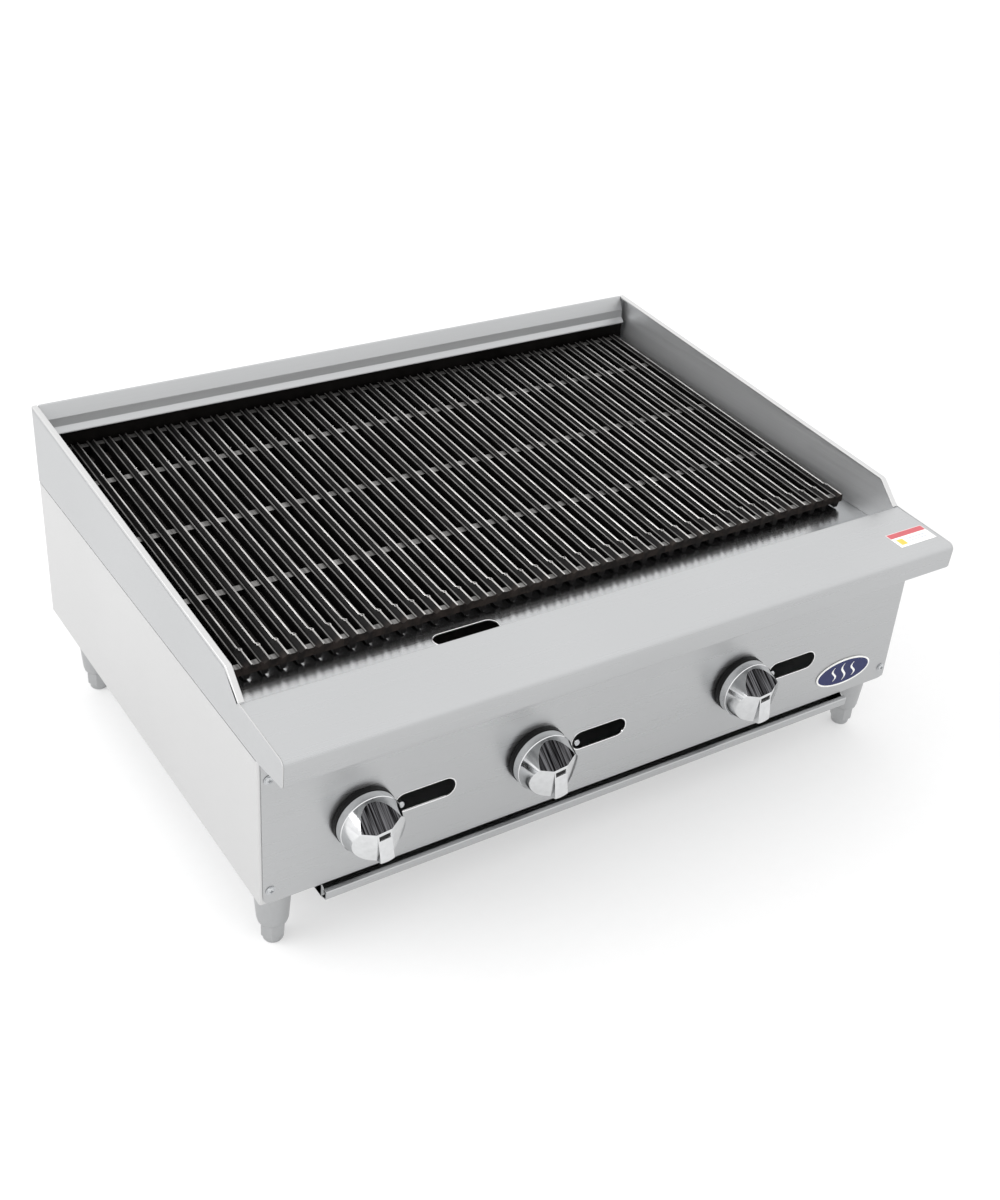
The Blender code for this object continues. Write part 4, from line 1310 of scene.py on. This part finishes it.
class GRILL_OT_legs(bpy.types.Operator):
    """Tapered legs and their six-sided adjustable feet"""

    bl_idname = "grill.legs"
    bl_label = "Legs and feet"

    def execute(self, context):
        fittings = context.scene.grill_fittings
        for corner in ("front_left", "front_right", "rear_left", "rear_right"):
            low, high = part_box(f"leg_{corner}")
            x, y = (low.x + high.x) / 2, (low.y + high.y) / 2
            top, bottom = high.z, low.z
            a, b = fittings.leg_top, fittings.leg_foot

            def place(p, q, z, x=x, y=y):
                return (x + p, y + q, z)

            bm = bmesh.new()
            profile = [
                (SCREW_BORE, top),
                (a - 0.0006, top),
                (a, top - 0.0008),
                (a, top - 0.0042),
                (a - 0.0008, top - 0.0052),
            ]
            profile += [
                (b + 0.0012, bottom + 0.006), (b, bottom + 0.0012), (b - 0.001, bottom), (SCREW_BORE, bottom)
            ]
            turned(bm, profile, place, 48, True)
            make(f"leg_casting_{corner}", bm, [nickel()], "root", [f"leg_{corner}"])
            self.foot(corner, place, bottom)
        return {"FINISHED"}

    def foot(self, corner, place, joint):
        low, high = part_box(f"foot_{corner}")
        r = (high.x - low.x) / 2
        bm = bmesh.new()
        pin = [
            (0, high.z), (0.0052, high.z), (0.0058, high.z - 0.001), (0.0058, joint - HAIR), (0, joint - HAIR)
        ]
        turned(bm, pin, place, 24)

        hexagons = ((r * 0.9, joint - HAIR), (r, joint - 0.0014), (r, 0.010), (r * 0.97, 0.008))
        skin(bm, [[place(p, q, z) for p, q in circle(radius, 6)] for radius, z in hexagons])
        turned(
            bm,
            [(0, 0.0085), (r * 0.84, 0.0085), (r * 0.80, 0.002), (r * 0.72, 0.0002), (0, 0.0002)],
            place,
            32,
        )
        soften(bm, 0.0005, 2, 40)
        make(
            f"foot_hexagon_{corner}",
            bm,
            [nickel()],
            f"foot_{corner}_body",
            [f"foot_{corner}"],
        )


class GRILL_OT_stems(bpy.types.Operator):
    """Valve stems with a flat for the knob"""

    bl_idname = "grill.stems"
    bl_label = "Valve stems"

    def execute(self, context):
        for name in STATIONS:
            low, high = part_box(f"valve_stem_{name}")
            x, z, r = middle(f"valve_stem_{name}")
            ring = circle(r, 32)
            flat = [(a, min(b, r * 0.45)) for a, b in ring]
            bm = bmesh.new()
            stations = ((flat, low.y), (flat, low.y + 0.016), (ring, low.y + 0.0162), (ring, high.y))
            skin(bm, [[(x + a, y, z + b) for a, b in shape] for shape, y in stations])
            make(
                f"valve_stem_bar_{name}",
                bm,
                [zinc()],
                f"knob_{name}_body",
                [f"valve_stem_{name}"],
            )
        return {"FINISHED"}


class GRILL_OT_stage(bpy.types.Operator):
    """Pale floor, soft studio light and the camera"""

    bl_idname = "grill.stage"
    bl_label = "Stage"

    def execute(self, context):
        stage = context.scene.grill_stage
        self.floor(stage)
        self.lights(context.scene, stage)
        self.camera(context.scene, stage)
        return {"FINISHED"}

    def floor(self, stage):
        tone = stage.floor[:]

        def build(tree):
            fibres = grain(tree, (60, 60, 60), 3.0)
            return principled(
                tree,
                {
                    "Base Color": mixed(tree, span(tree, fibres, 0, 1), shade(tone, 0.985), tone),
                    "Roughness": 0.9,
                    "Specular IOR Level": 0.1,
                    "Emission Color": (1, 1, 1, 1),
                    "Emission Strength": stage.glow,
                },
            )

        bm = bmesh.new()
        far = FLOOR_REACH
        square = ((-far, -far), (far, -far), (far, far), (-far, far))
        skin(bm, [[(x, y, z) for x, y in square] for z in (-0.02, -0.0003)])
        mesh = bpy.data.meshes.new("floor")
        bmesh.ops.recalc_face_normals(bm, faces=bm.faces)
        bm.to_mesh(mesh)
        bm.free()
        mesh.materials.append(surface("pale_paper", build))
        floor = bpy.data.objects.new("floor", mesh)
        bpy.context.scene.collection.objects.link(floor)

    def lights(self, scene, stage):
        """A white tent, a little dimmer towards the horizon, and one soft light for the left side."""
        world = bpy.data.worlds.new("studio")
        world.use_nodes = True
        world.node_tree.nodes.clear()
        tree = world.node_tree
        ray = add_node(tree, "ShaderNodeTexCoord").outputs["Generated"]
        height = add_node(tree, "ShaderNodeSeparateXYZ", None, {"Vector": ray}).outputs["Z"]
        strength = span(tree, height, stage.tent * 0.9, stage.tent, 0.1, 0.5)
        back = add_node(tree, "ShaderNodeBackground", None, {"Color": (1, 1, 1, 1), "Strength": strength})
        add_node(tree, "ShaderNodeOutputWorld", None, {"Surface": back.outputs[0]})
        scene.world = world
        place, aim = Vector((-2.2, 0.3, 1.8)), Vector((-1.1, 0.5, 0.0))
        light = bpy.data.lights.new("left_softbox", "AREA")
        light.size = 1.6
        light.energy = stage.left
        lamp = bpy.data.objects.new("left_softbox", light)
        lamp.location = place
        lamp.rotation_euler = (aim - place).to_track_quat("-Z", "Y").to_euler()
        lamp.visible_camera = False
        scene.collection.objects.link(lamp)
        scene.view_settings.view_transform = "Standard"
        scene.view_settings.look = "None"

    def camera(self, scene, stage):
        a, e, t = stage.azimuth, stage.elevation, stage.roll
        ahead = Vector((sin(a) * cos(e), cos(a) * cos(e), -sin(e)))
        level = ahead.cross(Vector((0, 0, 1))).normalized()
        rise = level.cross(ahead)
        right = level * cos(t) + rise * sin(t)
        up = rise * cos(t) - level * sin(t)
        turn = Matrix((right, up, -ahead)).transposed().to_4x4()
        data = bpy.data.cameras.new("camera")
        data.sensor_width = 36
        data.lens = stage.lens
        camera = bpy.data.objects.new("camera", data)
        camera.matrix_world = Matrix.Translation(Vector(stage.camera_place)) @ turn
        scene.collection.objects.link(camera)
        scene.camera = camera


OPERATORS = (
    GRILL_OT_sides,
    GRILL_OT_back,
    GRILL_OT_ledge,
    GRILL_OT_panel,
    GRILL_OT_grates,
    GRILL_OT_fire,
    GRILL_OT_gas,
    GRILL_OT_knobs,
    GRILL_OT_stems,
    GRILL_OT_trim,
    GRILL_OT_tray,
    GRILL_OT_legs,
    GRILL_OT_stage,
)
GROUPS = (
    ("grill_sheets", GrillSheets),
    ("grill_grates", GrillGrates),
    ("grill_controls", GrillControls),
    ("grill_fittings", GrillFittings),
    ("grill_stage", GrillStage),
)


class GRILL_PT_panel(bpy.types.Panel):
    """Sizes, colours and pieces of the charbroiler"""

    bl_idname = "GRILL_PT_panel"
    bl_label = "Charbroiler"
    bl_space_type = "VIEW_3D"
    bl_region_type = "UI"
    bl_category = "Charbroiler"

    def draw(self, context):
        for kind in OPERATORS:
            self.layout.operator(kind.bl_idname)
        for name, group in GROUPS:
            box = self.layout.box()
            for prop in group.__annotations__:
                box.prop(getattr(context.scene, name), prop)


def register():
    for _, group in GROUPS:
        bpy.utils.register_class(group)
    for name, group in GROUPS:
        setattr(bpy.types.Scene, name, PointerProperty(type=group))
    for kind in (*OPERATORS, GRILL_PT_panel):
        bpy.utils.register_class(kind)


def unregister():
    for kind in (GRILL_PT_panel, *reversed(OPERATORS)):
        bpy.utils.unregister_class(kind)
    for name, group in reversed(GROUPS):
        delattr(bpy.types.Scene, name)
        bpy.utils.unregister_class(group)


def main():
    register()
    for kind in OPERATORS:
        group, name = kind.bl_idname.split(".")
        getattr(getattr(bpy.ops, group), name)()


if __name__ == "__main__":
    main()
